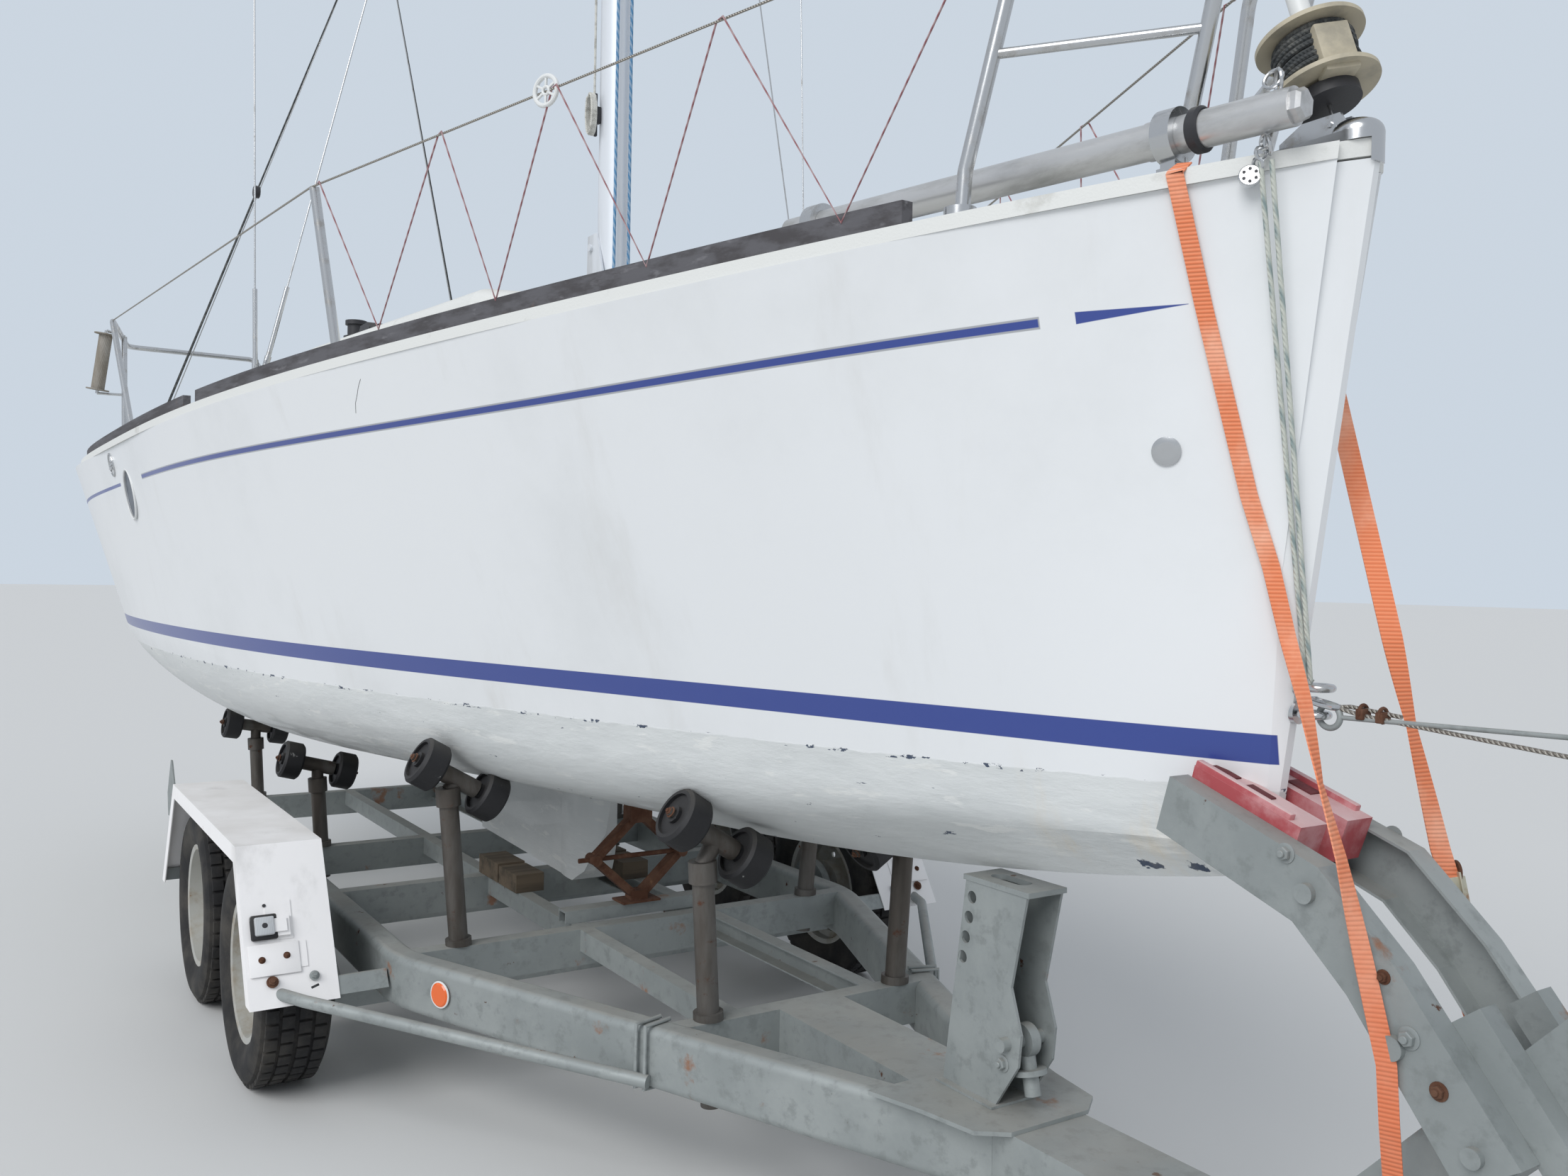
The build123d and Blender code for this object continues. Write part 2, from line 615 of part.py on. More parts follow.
def on_roof(aft, low, high, length, y_low, y_high):
    # a bar lying along the sloping roof, low and high above it
    bar = block(-length / 2, length / 2, y_low, y_high, low, high)
    return Pos(fx(aft), 0, roof_z(aft)) * Rot(0, roof_pitch, 0) * bar


runner_length = slide_back - slide_front + slide_travel
runner_aft = roof_aft - runner_length / 2
runner = on_roof(runner_aft, -20, runner_height, runner_length, slide_half + 5.5, slide_half + 21)
lip = on_roof(runner_aft, 0, 6, runner_length, slide_half - 16, slide_half + 21)
gear = both_sides((runner + lip) - roof_cutter)
slide = on_roof(slide_middle, 6 + hatch_gap, 6 + slide_thickness + hatch_gap, slide_back - slide_front,
                -slide_half, slide_half)
slide = fillet(slide.edges().filter_by(GeomType.LINE).group_by(Axis.Z)[-1], 8)
solids["companion_slide"] = [slide]
board_thickness = 14.0
board_x = fx(cockpit_front) - board_thickness - 4 - seat
board_top = roof_z(roof_aft) - 40
boards = block(board_x + 4, board_x + 4 + board_thickness, -companion_half - 18, companion_half + 18,
               companion_sill - 22, board_top)
for low_y in (-companion_half - 30, companion_half - 2):
    boards -= block(board_x, board_x + 30, low_y, low_y + 32, 1500, seat_z + seat)
boards = chamfer(boards.edges().filter_by(Axis.X).group_by(Axis.Z)[-1], 60)
solids["washboard"] = [boards]
winch_rows = [(3960, 395, 46, 84)]
for aft, y, radius, height in winch_rows:
    z = roof_z(aft)
    body = Pos(fx(aft), y, z - 10) * extrude(Circle(radius), 34)
    body += Pos(fx(aft), y, z + 20) * extrude(Circle(radius - 14), height - 30)
    body += Pos(fx(aft), y, z + height - 16) * extrude(Circle(radius - 6), 16)
    body -= Pos(fx(aft), y, z + height - 14) * extrude(Rectangle(17, 17), 20)
    gear += both_sides(body - roof_cutter)
clutch_rows = [(3720, 372), (3720, 412)]
for aft, y in clutch_rows:
    clutch = block(fx(aft) - 70, fx(aft) + 70, y - 17, y + 17, roof_z(aft) - 10, roof_z(aft) + 42)
    clutch = chamfer(clutch.edges().filter_by(Axis.Y).group_by(Axis.Z)[-1], 20)
    gear += both_sides(clutch - roof_cutter)
solids["deck_gear"] = gear

# Lifting keel, raised into the hull for the road
fin_front = 2430.0
fin_back = 3560.0
fin_bottom = 430.0
fin_half = 46.0
fin_outline = [(fx(fin_front), 800), (fx(fin_front + 30), 600), (fx(fin_front + 120), fin_bottom + 40),
               (fx(fin_front + 190), fin_bottom), (fx(fin_back), fin_bottom), (fx(fin_back), 800)]
fin_x = [fx(fin_front - 5), fx(fin_front + 300), fx(fin_back + 20)]
fin_plan = make_face(Wire([
    ThreePointArc((fin_x[1], fin_half, 0), (fin_x[0] - 60, fin_half * 0.62, 0), (fin_x[0], 0, 0)),
    ThreePointArc((fin_x[0], 0, 0), (fin_x[0] - 60, -fin_half * 0.62, 0), (fin_x[1], -fin_half, 0)),
    Line((fin_x[1], -fin_half, 0), (fin_x[2], -8, 0)), Line((fin_x[2], -8, 0), (fin_x[2], 8, 0)),
    Line((fin_x[2], 8, 0), (fin_x[1], fin_half, 0))]))
fin = (Pos(0, 0, 380) * extrude(fin_plan, 500)) & side_plate(fin_outline, -100, 100)
solids["keel_fin"] = [fin - hull_cutter]

# Rudder hung on the transom, with its tiller
rudder_aft = 6268.0
rudder_axis_x = fx(rudder_aft)
head_low = 1330.0
head_high = 2010.0
blade_half = 15.0
pintle_radius = 7.0
strap_heights = [1480.0, 1800.0]
blade_back = 6530.0
blade_bottom = 640.0
straps = []
for z in strap_heights:
    transom_x = fx(6200 - (1868 - z) * 70 / 998)
    strap = block(rudder_axis_x - 13, transom_x - seat, -26, 26, z - 9, z + 9)
    strap += block(transom_x - 8 - seat, transom_x - seat, -40, 40, z - 24, z + 24)
    strap -= Pos(rudder_axis_x, 0, z) * Cylinder(pintle_radius + 0.05, 60)
    straps.append(strap)
solids["rudder_straps"] = [strap - Pos(-seat, 0, 0) * hull_body for strap in straps]
cheeks = side_plate([(rudder_axis_x - 22, head_low), (rudder_axis_x - 22, head_high),
                     (fx(blade_back - 90), head_high), (fx(blade_back - 20), 1700),
                     (fx(blade_back - 20), head_low + 60), (fx(blade_back - 60), head_low)], -25, 25)
cheeks -= side_plate([(rudder_axis_x - 45, head_low - 5), (rudder_axis_x - 45, head_high - 90),
                      (fx(blade_back) + 5, head_high - 90), (fx(blade_back) - 5, head_low - 5)],
                     -blade_half - seat, blade_half + seat)
for z in strap_heights:
    cheeks -= block(rudder_axis_x - 34, rudder_axis_x + 40, -60, 60, z - 15, z + 15)
    cheeks += Pos(rudder_axis_x, 0, z) * Cylinder(pintle_radius, 60)
    cheeks += block(rudder_axis_x - 34, rudder_axis_x + 9, -9, 9, z + 15, z + 30)
    cheeks += block(rudder_axis_x - 34, rudder_axis_x + 9, -9, 9, z - 30, z - 15)
solids["rudder_head"] = [cheeks]
blade = side_plate([(rudder_axis_x - 52, head_high - 96), (rudder_axis_x - 52, blade_bottom + 60),
                    (rudder_axis_x - 80, blade_bottom), (fx(blade_back - 30), blade_bottom),
                    (fx(blade_back), blade_bottom + 50), (fx(blade_back), 1700),
                    (fx(blade_back - 60), head_high - 96)], -blade_half, blade_half)
solids["rudder_blade"] = [blade]
tiller_z = head_high + 12
tiller = beam((fx(blade_back - 100), 0, tiller_z), (fx(5420), 0, tiller_z + 90), 30, 34)
tiller = fillet(tiller.edges().group_by(SortBy.LENGTH)[-1], 8)
tiller -= block(fx(7000), fx(5000), -60, 60, 1900, head_high + seat)
solids["tiller"] = [tiller]

# Trailer frame: two pressed side beams, channel cross members and rails, a hat drawbar
frame_top = 400.0
beam_depth = 135.0
beam_width = 72.0
beam_corner = 20.0
beam_wall = 4.0
beam_half = 699.0
beam_back = 5150.0
beam_bend = 2225.0
beam_nose = 640.0
beam_bend_radius = 420.0
drawbar_half = 90.0
beam_z = frame_top - beam_depth / 2
nose_share = 0.4127
nose_y = beam_half - (beam_bend - beam_nose) * nose_share
beam_path = FilletPolyline((fx(beam_back), beam_half, beam_z), (fx(beam_bend), beam_half, beam_z),
                           (fx(beam_nose), nose_y, beam_z), radius=beam_bend_radius)


def along_beam(grow):
    plane = Plane(origin=beam_path @ 0, x_dir=(0, 1, 0), z_dir=beam_path % 0)
    profile = RectangleRounded(beam_width + 2 * grow, beam_depth + 2 * grow, beam_corner + grow)
    return sweep(plane * profile, path=beam_path)


drawbar_clear = block(fx(2000), fx(0), -drawbar_half - seat, drawbar_half + seat, 0, 900)
side_beam = along_beam(0) - along_beam(-beam_wall) - drawbar_clear
side_beam = side_beam.solids().sort_by(SortBy.VOLUME)[-1]
solids["side_beam_s"] = [mirror(side_beam, about=Plane.XZ)]
solids["side_beam_p"] = [side_beam]
beam_cutter = along_beam(seat)
cross_depth = 100.0
cross_flange = 50.0
cross_wall = 6.0
cross_low = frame_top - cross_depth
cross_rows = [1395, 2220, 2950, 3630, 4760]
post_radius = 25.0
post_hole = 31.0
# posts: aft of stem at the frame, half spread at the frame, half spread and height at the top,
# height of the lower end, tilt of the roller pair, roller centre half spread and height
post_rows = [
    (1397, 262, 284, 752, 205, 32, 252, 800),
    (2222, 552, 588, 815, 290, 30, 560, 836),
    (3632, 575, 592, 640, 290, 15, 592, 688),
    (4762, 575, 588, 650, 290, 10, 588, 706),
]


def post_ends(row):
    aft, low_y, high_y, high_z, low_z = row[:5]
    slope = (high_y - low_y) / (high_z - frame_top)
    return (Vector(fx(aft), low_y + slope * (low_z - frame_top), low_z),
            Vector(fx(aft), high_y, high_z))


cross_members = []
for aft in cross_rows:
    x = fx(aft) + cross_flange / 2
    profile = [(x, frame_top), (x - cross_flange, frame_top), (x - cross_flange, frame_top - cross_wall),
               (x - cross_wall, frame_top - cross_wall), (x - cross_wall, cross_low + cross_wall),
               (x - cross_flange, cross_low + cross_wall), (x - cross_flange, cross_low), (x, cross_low)]
    bar = side_plate(profile, -beam_half, beam_half)
    for row in post_rows:
        low, high = post_ends(row)
        for start, end in ((low, high), (Vector(low.X, -low.Y, low.Z), Vector(high.X, -high.Y, high.Z))):
            if abs(row[0] - aft) < cross_flange:
                bar -= rod(start, end, post_radius + seat)
    for side in both_sides(beam_cutter):
        bar -= side
    cross_members.append(bar.solids().sort_by(SortBy.VOLUME)[-1])
rail_half = 195.0
rail_width = 42.0
rail_depth = 60.0
rail_wall = 4.0
rails = []
for front, back in zip(cross_rows, cross_rows[1:]):
    start = fx(back) + cross_flange / 2 + seat
    end = fx(front) - cross_flange / 2 - seat
    y = rail_half
    rail = block(start, end, y - rail_width / 2, y + rail_width / 2, frame_top - rail_depth, frame_top)
    rail -= block(start - 1, end + 1, y - rail_width, y + rail_width / 2 - rail_wall,
                  frame_top - rail_depth + rail_wall, frame_top - rail_wall)
    rails += both_sides(rail)
solids["inner_rails"] = rails
jack_aft = 2285.0
jack_bar_height = 36.0
jack_bar = block(fx(jack_aft) - 26, fx(jack_aft) + 26, -232, 232, frame_top + seat,
                 frame_top + jack_bar_height)
jack_bar -= block(fx(jack_aft) - 20, fx(jack_aft) + 20, -240, 240, frame_top - 5,
                  frame_top + jack_bar_height - 6)
cross_members.append(jack_bar)
nose_plate_thickness = 8.0
nose_points = [(880, 205), (760, 172), (640, 150), (600, 96)]
outline = [(fx(a), y, 0) for a, y in nose_points] + [(fx(a), -y, 0) for a, y in reversed(nose_points)]
nose_plate = Pos(0, 0, frame_top + seat) * extrude(make_face(Polyline(*outline, close=True)),
                                                    nose_plate_thickness)
cross_members.append(nose_plate)
solids["cross_members"] = cross_members
drawbar_depth = 110.0
drawbar_wall = 5.0
drawbar_lip = 26.0
drawbar_lip_end = 1130.0
drawbar_front = -420.0
pole_half = 55.0
pole_depth = 90.0
pole_front = -1010.0


def hat_bar(back, front, half, depth, lip):
    x_low, x_high = fx(back), fx(front)
    bar = block(x_low, x_high, -half, half, frame_top - depth, frame_top)
    bar += block(x_low, x_high, -half - lip, half + lip, frame_top - depth, frame_top - depth + drawbar_wall)
    bar -= block(x_low - 1, x_high + 1, -half + drawbar_wall, half - drawbar_wall,
                 frame_top - depth - 1, frame_top - drawbar_wall)
    return bar


cross_front = cross_rows[0] - cross_flange / 2
hat = hat_bar(cross_front - seat, drawbar_front, drawbar_half, drawbar_depth, 0)
hat_lips = hat_bar(cross_front - seat, drawbar_lip_end, drawbar_half, drawbar_depth, drawbar_lip)
pole = block(fx(drawbar_front - seat), fx(pole_front), -pole_half, pole_half,
             frame_top - pole_depth, frame_top)
pole -= block(fx(0), fx(-3000), -pole_half + drawbar_wall, pole_half - drawbar_wall,
              frame_top - pole_depth + drawbar_wall, frame_top - drawbar_wall)
end_plate = block(fx(drawbar_front) - 8, fx(drawbar_front), -drawbar_half, drawbar_half,
                  frame_top - drawbar_depth, frame_top)
solids["drawbar"] = [hat + hat_lips + end_plate, pole]

# Coupling head with its ball socket
ball_radius = 25.4
ball_aft = -1205.0
ball_z = frame_top + 42.0
neck = side_plate([(fx(-880), frame_top + seat), (fx(-880), frame_top + 46),
                   (fx(-1010), frame_top + 62), (fx(-1150), frame_top + 78),
                   (fx(-coupling_reach + 12), frame_top + 78), (fx(-coupling_reach), frame_top + 60),
                   (fx(-coupling_reach), frame_top + 16), (fx(-1150), frame_top + 14),
                   (fx(-1020), frame_top + seat)], -34, 34)
neck = chamfer(neck.edges().filter_by(Axis.Z), 5) if neck.edges().filter_by(Axis.Z) else neck
neck -= Pos(fx(ball_aft), 0, ball_z) * Sphere(ball_radius + 1)
neck -= Pos(fx(ball_aft), 0, ball_z - 40) * Cylinder(ball_radius - 3, 80)
handle = side_plate([(fx(-1120), frame_top + 92), (fx(-1060), frame_top + 124),
                     (fx(-930), frame_top + 128), (fx(-926), frame_top + 112),
                     (fx(-1048), frame_top + 106), (fx(-1100), frame_top + 66)], -14, 14)
solids["coupling"] = [neck + handle]

# Jockey wheel in its clamp on the starboard side of the drawbar
jockey_x = fx(-640)
jockey_y = -(pole_half + 52.0)
jockey_wheel_radius = 105.0
jockey_wheel_half = 30.0
jockey_tube_radius = 24.0
jockey_trail = 42.0
fork_gap = jockey_wheel_half + 6.0
tube_low = 262.0
tube_high = 640.0
outer_tube = Pos(jockey_x, jockey_y, tube_low) * extrude(Circle(jockey_tube_radius), tube_high - tube_low)
clamp = block(jockey_x - 34, jockey_x + 34, jockey_y - 32, -pole_half - seat, frame_top - 78, frame_top - 14)
crank = rod((jockey_x, jockey_y, tube_high - 2), (jockey_x, jockey_y, tube_high + 40), 8)
crank += rod((jockey_x, jockey_y, tube_high + 30), (jockey_x + 130, jockey_y, tube_high + 30), 7)
crank += rod((jockey_x + 124, jockey_y, tube_high + 18), (jockey_x + 124, jockey_y, tube_high + 120), 10)
spigot_bore = Pos(jockey_x, jockey_y, tube_low - 1) * extrude(Circle(14.4), 101)
solids["jockey_tube"] = [outer_tube + clamp + crank - spigot_bore]
fork_top = tube_low - 6
spigot = Pos(jockey_x, jockey_y, fork_top - 8) * extrude(Circle(14), 100)
crown = Box(jockey_trail + 44, 2 * fork_gap + 10, 12)
crown = Pos(jockey_x - jockey_trail / 2, jockey_y, fork_top - 6) * crown
fork = spigot + crown
for low_y in (jockey_y - fork_gap - 5, jockey_y + fork_gap):
    fork += side_plate([(jockey_x + 20, fork_top - 6), (jockey_x - jockey_trail - 20, fork_top - 6),
                        (jockey_x - jockey_trail - 18, jockey_wheel_radius - 14),
                        (jockey_x - jockey_trail + 18, jockey_wheel_radius - 14)], low_y, low_y + 5)
axle_point = Vector(jockey_x - jockey_trail, jockey_y, jockey_wheel_radius)
fork += Pos(axle_point) * Rot(90, 0, 0) * Cylinder(8, 2 * fork_gap + 20)
solids["jockey_fork"] = [fork]
roll = Pos(axle_point) * Rot(90, 0, 0) * Cylinder(jockey_wheel_radius, 2 * jockey_wheel_half)
roll = chamfer(roll.edges().filter_by(GeomType.CIRCLE), 9)
roll -= Pos(axle_point) * Rot(90, 0, 0) * Cylinder(8.4, 200)
for side in (-1, 1):
    dish = Pos(axle_point + Vector(0, side * (jockey_wheel_half - 5), 0)) * Rot(90, 0, 0)
    roll -= dish * (Cylinder(66, 12) - Cylinder(24, 12))
solids["jockey_wheel"] = [roll]

# Axles with swing arms and stub shafts
axle_rows = [2590.0, 3370.0]
tyre_radius = 304.0
wheel_half = 942.0
axle_size = 58.0
arm_reach = 125.0
stub_radius = 22.0
bearing_gap = 0.4
axles = []
axle_z = frame_top - beam_depth - seat - axle_size / 2
for aft in axle_rows:
    x = fx(aft) + arm_reach
    axle = block(x - axle_size / 2, x + axle_size / 2, -792, 792,
                 axle_z - axle_size / 2, axle_z + axle_size / 2)
    arm = side_plate([(x + 30, axle_z - 24), (x + 30, axle_z + 24), (fx(aft) + 10, tyre_radius + 34),
                      (fx(aft) - 26, tyre_radius + 26), (fx(aft) - 30, tyre_radius - 26),
                      (fx(aft), tyre_radius - 34)], 790, 816)
    stub = rod((fx(aft), 800, tyre_radius), (fx(aft), wheel_half + 32, tyre_radius), stub_radius)
    back_plate = Pos(fx(aft), 828, tyre_radius) * Rot(90, 0, 0) * Cylinder(104, 26)
    for side in both_sides(arm + stub + back_plate):
        axle += side
    axles.append(axle)
solids["axles"] = axles

# Wheels: columns are name, axle row, side
wheel_rows = [("front_s", 0, -1), ("front_p", 0, 1), ("rear_s", 1, -1), ("rear_p", 1, 1)]
rim_outer = [(200, -77), (200, -71), (179, -69), (178, -45), (158, -38), (158, 12), (178, 20),
             (179, 69), (200, 71), (200, 77)]
rim_inner = [(193, 77), (175, 74), (172, 24), (152, 17), (152, -43), (172, -50), (175, -74), (193, -77)]
disc_front = [(30, 12), (72, 12), (95, 24), (125, 24), (154, 4)]
disc_back = [(154, -6), (122, 17), (98, 17), (75, 5), (30, 5)]
tyre_side = [(179.3, 62), (200.6, 68), (207, 82), (235, 94), (262, 95), (288, 86), (300, 74), (304, 56)]
vent_count = 12
vent_radius = 10.0
vent_circle = 110.0


def spin(points):
    return revolve(make_face(Polyline(*[(r, y, 0) for r, y in points], close=True)), Axis.Y)


rim = spin(rim_outer + rim_inner) + spin(disc_front + disc_back)
bore = stub_radius + bearing_gap
rim += spin([(bore, -64), (92, -64), (92, 8), (bore, 8)])
rim += spin([(bore, 4), (34, 4), (34, 30), (28, 42), (0, 42), (0, 36), (bore, 36)])
for i in range(vent_count):
    vent = Pos(vent_circle, 20, 0) * Rot(90, 0, 0) * Cylinder(vent_radius, 30)
    rim -= Rot(0, i * 360 / vent_count, 0) * vent
tyre = spin(tyre_side + [(r, -y) for r, y in reversed(tyre_side)])
for name, axle_row, side in wheel_rows:
    place = Pos(fx(axle_rows[axle_row]), side * wheel_half, tyre_radius)
    turn = Rot(0, 0, 0) if side > 0 else Rot(0, 0, 180)
    solids["rim_" + name] = [place * turn * rim]
    solids["tyre_" + name] = [place * turn * tyre]

# Fenders over both wheels with their brackets and marker plates
fender_top = 672.0
fender_foot = 312.0
fender_front = 2210.0
fender_back = 3750.0
fender_slope = 222.0
fender_inner = 858.0
fender_outer = 1072.0
fender_sheet = 3.0
fender_skirt = 44.0
panel_share = fender_slope / (fender_top - fender_foot)
panel_thick = fender_sheet * math.hypot(1, panel_share)


def fender_prism(inset, y_low, y_high):
    side = inset * math.hypot(1, panel_share)
    drop = inset * (math.hypot(1, panel_share) - panel_share)
    foot = fender_foot - 60
    extra = 60 * panel_share
    points = [(fx(fender_front - extra) - side, foot),
              (fx(fender_front + fender_slope) - drop, fender_top - inset),
              (fx(fender_back - fender_slope) + drop, fender_top - inset),
              (fx(fender_back + extra) + side, foot)]
    return side_plate(points, y_low, y_high)


fender = fender_prism(0, fender_inner, fender_outer)
fender -= fender_prism(fender_sheet, fender_inner - 5, fender_outer - fender_sheet)
fender -= fender_prism(fender_skirt, fender_inner - 5, fender_outer + 5)
fender -= block(fx(4200), fx(1900), 700, 1200, 100, fender_foot)
solids["fenders"] = both_sides(fender)
bracket_height = 40.0
bracket_low = 318.0
bracket_length = 34.0
brackets = []


def panel_x(z):
    return fx(fender_front + (z - fender_foot) * panel_share) - panel_thick - 2 * seat


bracket = side_plate([(panel_x(bracket_low), bracket_low), (panel_x(bracket_low + bracket_height),
                                                             bracket_low + bracket_height),
                      (panel_x(bracket_low) - bracket_length, bracket_low + bracket_height),
                      (panel_x(bracket_low) - bracket_length, bracket_low)],
                     beam_half + beam_width / 2 + seat, fender_outer - fender_sheet - seat)
fender_middle = fx((fender_front + fender_back) / 2)
for piece in both_sides(bracket):
    brackets += [piece, Pos(fender_middle, 0, 0) * Rot(0, 0, 180) * Pos(-fender_middle, 0, 0) * piece]
panel_normal = Vector(1, 0, panel_share).normalized()
panel_down = Vector(panel_share, 0, -1).normalized()
panel_edge = Vector(fx(fender_front + fender_slope), 0, fender_top)


def on_panel(down, y, length, width, low, high):
    # a flat piece lying on the front panel of the fender, centred a distance down from its top edge
    origin = panel_edge + panel_down * down + Vector(0, y, 0) + panel_normal * low
    plane = Plane(origin=origin, x_dir=panel_down, z_dir=panel_normal)
    return extrude(plane * Rectangle(length, width), high - low)


plates = []
lamps = []
for piece in (on_panel(205, 985, 100, 62, seat, 2.5), on_panel(298, 972, 66, 92, seat, 2.5)):
    plates += both_sides(piece)
lamp = on_panel(222, 985, 52, 46, 2.8, 13) + on_panel(222, 985, 34, 30, 12, 19)
lamps += both_sides(lamp)
solids["marker_boards"] = plates + lamps
guard_radius = 15.0
guard = bent_tube([(fx(2245), 1000, fender_foot + 24), (fx(2150), 960, fender_foot + 26),
                   (fx(1400), beam_half - (beam_bend - 1400) * nose_share + 50, 287)], guard_radius, 60)
guard -= beam_cutter
solids["fender_supports"] = brackets + both_sides(guard - fender_prism(-seat, 800, 1200))
# rear lamp brackets: a short arm out from each side beam with a plate at its end
beam_side = beam_half + beam_width / 2 + seat
rear_arm = block(fx(5130), fx(5090), beam_side, 852, 310, 350)
rear_plate = side_plate([(fx(5040), 285), (fx(5330), 250), (fx(5360), 350), (fx(5270), 510),
                         (fx(5240), 510)], 846, 852)
solids["fender_supports"] += both_sides(rear_arm + rear_plate)

# Roller posts with their collars and heads, and the twin rollers on each
roller_radius = 64.0
roller_width = 66.0
roller_spread = 94.0
roller_pin = 9.0
collar_radius = 34.0
posts = []
rollers = []
collar_cutter = block(fx(6000), fx(0), -2000, 2000, 0, frame_top + seat)
for row in post_rows:
    low, high = post_ends(row)
    tilt, centre_y, centre_z = row[5], row[6], row[7]
    post = rod(low, high, post_radius)
    run = (high - low).normalized()
    reach = (frame_top - low.Z) / run.Z
    foot = low + run * (reach - 6)
    post += rod(foot, foot + run * 24, collar_radius) - collar_cutter
    centre = Vector(fx(row[0]), centre_y, centre_z)
    out = Vector(0, math.cos(math.radians(tilt)), math.sin(math.radians(tilt)))
    post += rod(high - run * 44, high + run * 4, post_radius + 7)
    post += rod(high - run * 6, centre, 20)
    post += rod(centre - out * (roller_spread - roller_width / 2 - 4),
                centre + out * (roller_spread - roller_width / 2 - 4), 24)
    post += rod(centre - out * (roller_spread + roller_width / 2 + 12),
                centre + out * (roller_spread + roller_width / 2 + 12), roller_pin)
    posts += both_sides(post)
    for way in (-1, 1):
        middle = centre + out * (way * roller_spread)
        start = middle - out * (roller_width / 2)
        end = middle + out * (roller_width / 2)
        roller = rod(start, end, roller_radius)
        roller = chamfer(roller.edges().filter_by(GeomType.CIRCLE), 7)
        roller -= ring_bar(end - out * 9, end + out, roller_radius - 15, 20)
        roller -= ring_bar(start - out, start + out * 9, roller_radius - 15, 20)
        roller -= rod(start - out, end + out, roller_pin + bearing_gap)
        rollers += both_sides(roller - hull_cutter)
solids["roller_posts"] = posts
solids["rollers"] = rollers

# Scissor jack under the keel root, with timber blocks on the rails beside the fin
jack_base_z = frame_top + jack_bar_height + seat
jack_reach = 138.0
jack_top = 697.0
base = block(fx(jack_aft) - 38, fx(jack_aft) + 38, -60, 60, jack_base_z, jack_base_z + 6)
low_pivot = jack_base_z + 24
high_pivot = jack_top - 20
mid_pivot = (low_pivot + high_pivot) / 2
jack = base + block(fx(jack_aft) - 22, fx(jack_aft) + 22, -26, 26, jack_base_z, low_pivot + 8)
jack += block(fx(jack_aft) - 26, fx(jack_aft) + 26, -34, 34, high_pivot - 10, jack_top + 20)
for way in (-1, 1):
    for y, z in ((18, low_pivot), (18, high_pivot)):
        jack += beam((fx(jack_aft), way * y, z), (fx(jack_aft), way * jack_reach, mid_pivot), 36, 22)
    jack += Pos(fx(jack_aft), way * jack_reach, mid_pivot) * Rot(0, 90, 0) * Cylinder(15, 56)
jack += rod((fx(jack_aft), -jack_reach - 46, mid_pivot), (fx(jack_aft), jack_reach + 20, mid_pivot), 7)
solids["scissor_jack"] = [jack - hull_cutter]
timber_rows = [(2730, 150, 56), (2900, 170, 60)]
timbers = []
for aft, length, height in timber_rows:
    timber = block(fx(aft) - length / 2, fx(aft) + length / 2, rail_half - 60, rail_half + 30,
                   frame_top + seat, frame_top + height)
    timbers += both_sides(timber)
solids["timber_blocks"] = timbers

# Hinge post on the nose plate with its cheeks, pin, eye bolt and screw
nose_z = frame_top + nose_plate_thickness + 2 * seat
cheek_half = 46.0
cheek_plate = 6.0
nose_pin = Vector(fx(670), 0, 535)
hole_rows = [0.30, 0.46, 0.62, 0.78]
cheek = side_plate([(fx(848), nose_z), (fx(790), 818), (fx(624), 818), (fx(662), 640), (fx(634), 560),
                    (fx(640), 500), (fx(700), nose_z)], cheek_half - cheek_plate, cheek_half)
for share in hole_rows:
    spot = Vector(fx(812 - 50 * share), cheek_half, nose_z + (810 - nose_z) * (0.45 + share * 0.62))
    if spot.Z < 800:
        cheek -= Pos(spot) * Rot(90, 0, 0) * Cylinder(12, 40)
post = cheek + mirror(cheek, about=Plane.XZ)
post += side_plate([(fx(848), nose_z), (fx(790), 818), (fx(783), 818), (fx(841), nose_z)],
                   -cheek_half + 1, cheek_half - 1)
cap = block(fx(796), fx(618), -cheek_half - 2, cheek_half + 2, 814, 824)
cap -= Pos(fx(715), 0, 819) * extrude(SlotOverall(96, 34), 20, both=True)
post += cap
post += block(fx(852), fx(690), -cheek_half - 16, cheek_half + 16, nose_z, nose_z + 5)
pin = Pos(nose_pin) * Rot(90, 0, 0) * Cylinder(13, 2 * cheek_half + 36)
post += pin
solids["nose_post"] = [post]
screw_foot = Vector(fx(640), 0, nose_z + 2)
screw_run = (screw_foot - nose_pin).normalized()
eye = Pos(nose_pin) * Rot(90, 0, 0) * (Cylinder(31, 22) - Cylinder(13 + seat, 30))
screw = eye + rod(nose_pin + screw_run * 28, nose_pin + screw_run * 100, 15)
screw += rod(nose_pin + screw_run * 52, nose_pin + screw_run * 62, 32)
screw -= block(fx(900), fx(400), -90, 90, 300, nose_z + seat)
solids["nose_post"].append(screw)

# Winch post, winch and the bow support
winch_run = Vector(math.cos(math.radians(48)), 0, math.sin(math.radians(48)))
winch_foot = Vector(fx(-137), 0, 617)
winch_size = 100.0
winch_wall = 5.0
stand = beam(winch_foot - winch_run * 420, winch_foot + winch_run * 742, winch_size, winch_size, winch_wall)
stand -= block(fx(900), fx(-900), -400, 400, 0, frame_top + seat)
web = side_plate([(fx(-40), frame_top + seat), (fx(-300), frame_top + seat), (fx(-300), frame_top + 10),
                  (fx(-190), 560), (fx(-150), 560)], -4, 4)
flange = block(fx(110), fx(-330), -84, 84, frame_top + seat, frame_top + 10)
stand_hollow = beam(winch_foot - winch_run * 420, winch_foot + winch_run * 800,
                    winch_size - 2 * winch_wall, winch_size - 2 * winch_wall)
solids["winch_post"] = [stand + ((flange + web) - stand_hollow)]
winch_up = Vector(-winch_run.Z, 0, winch_run.X)
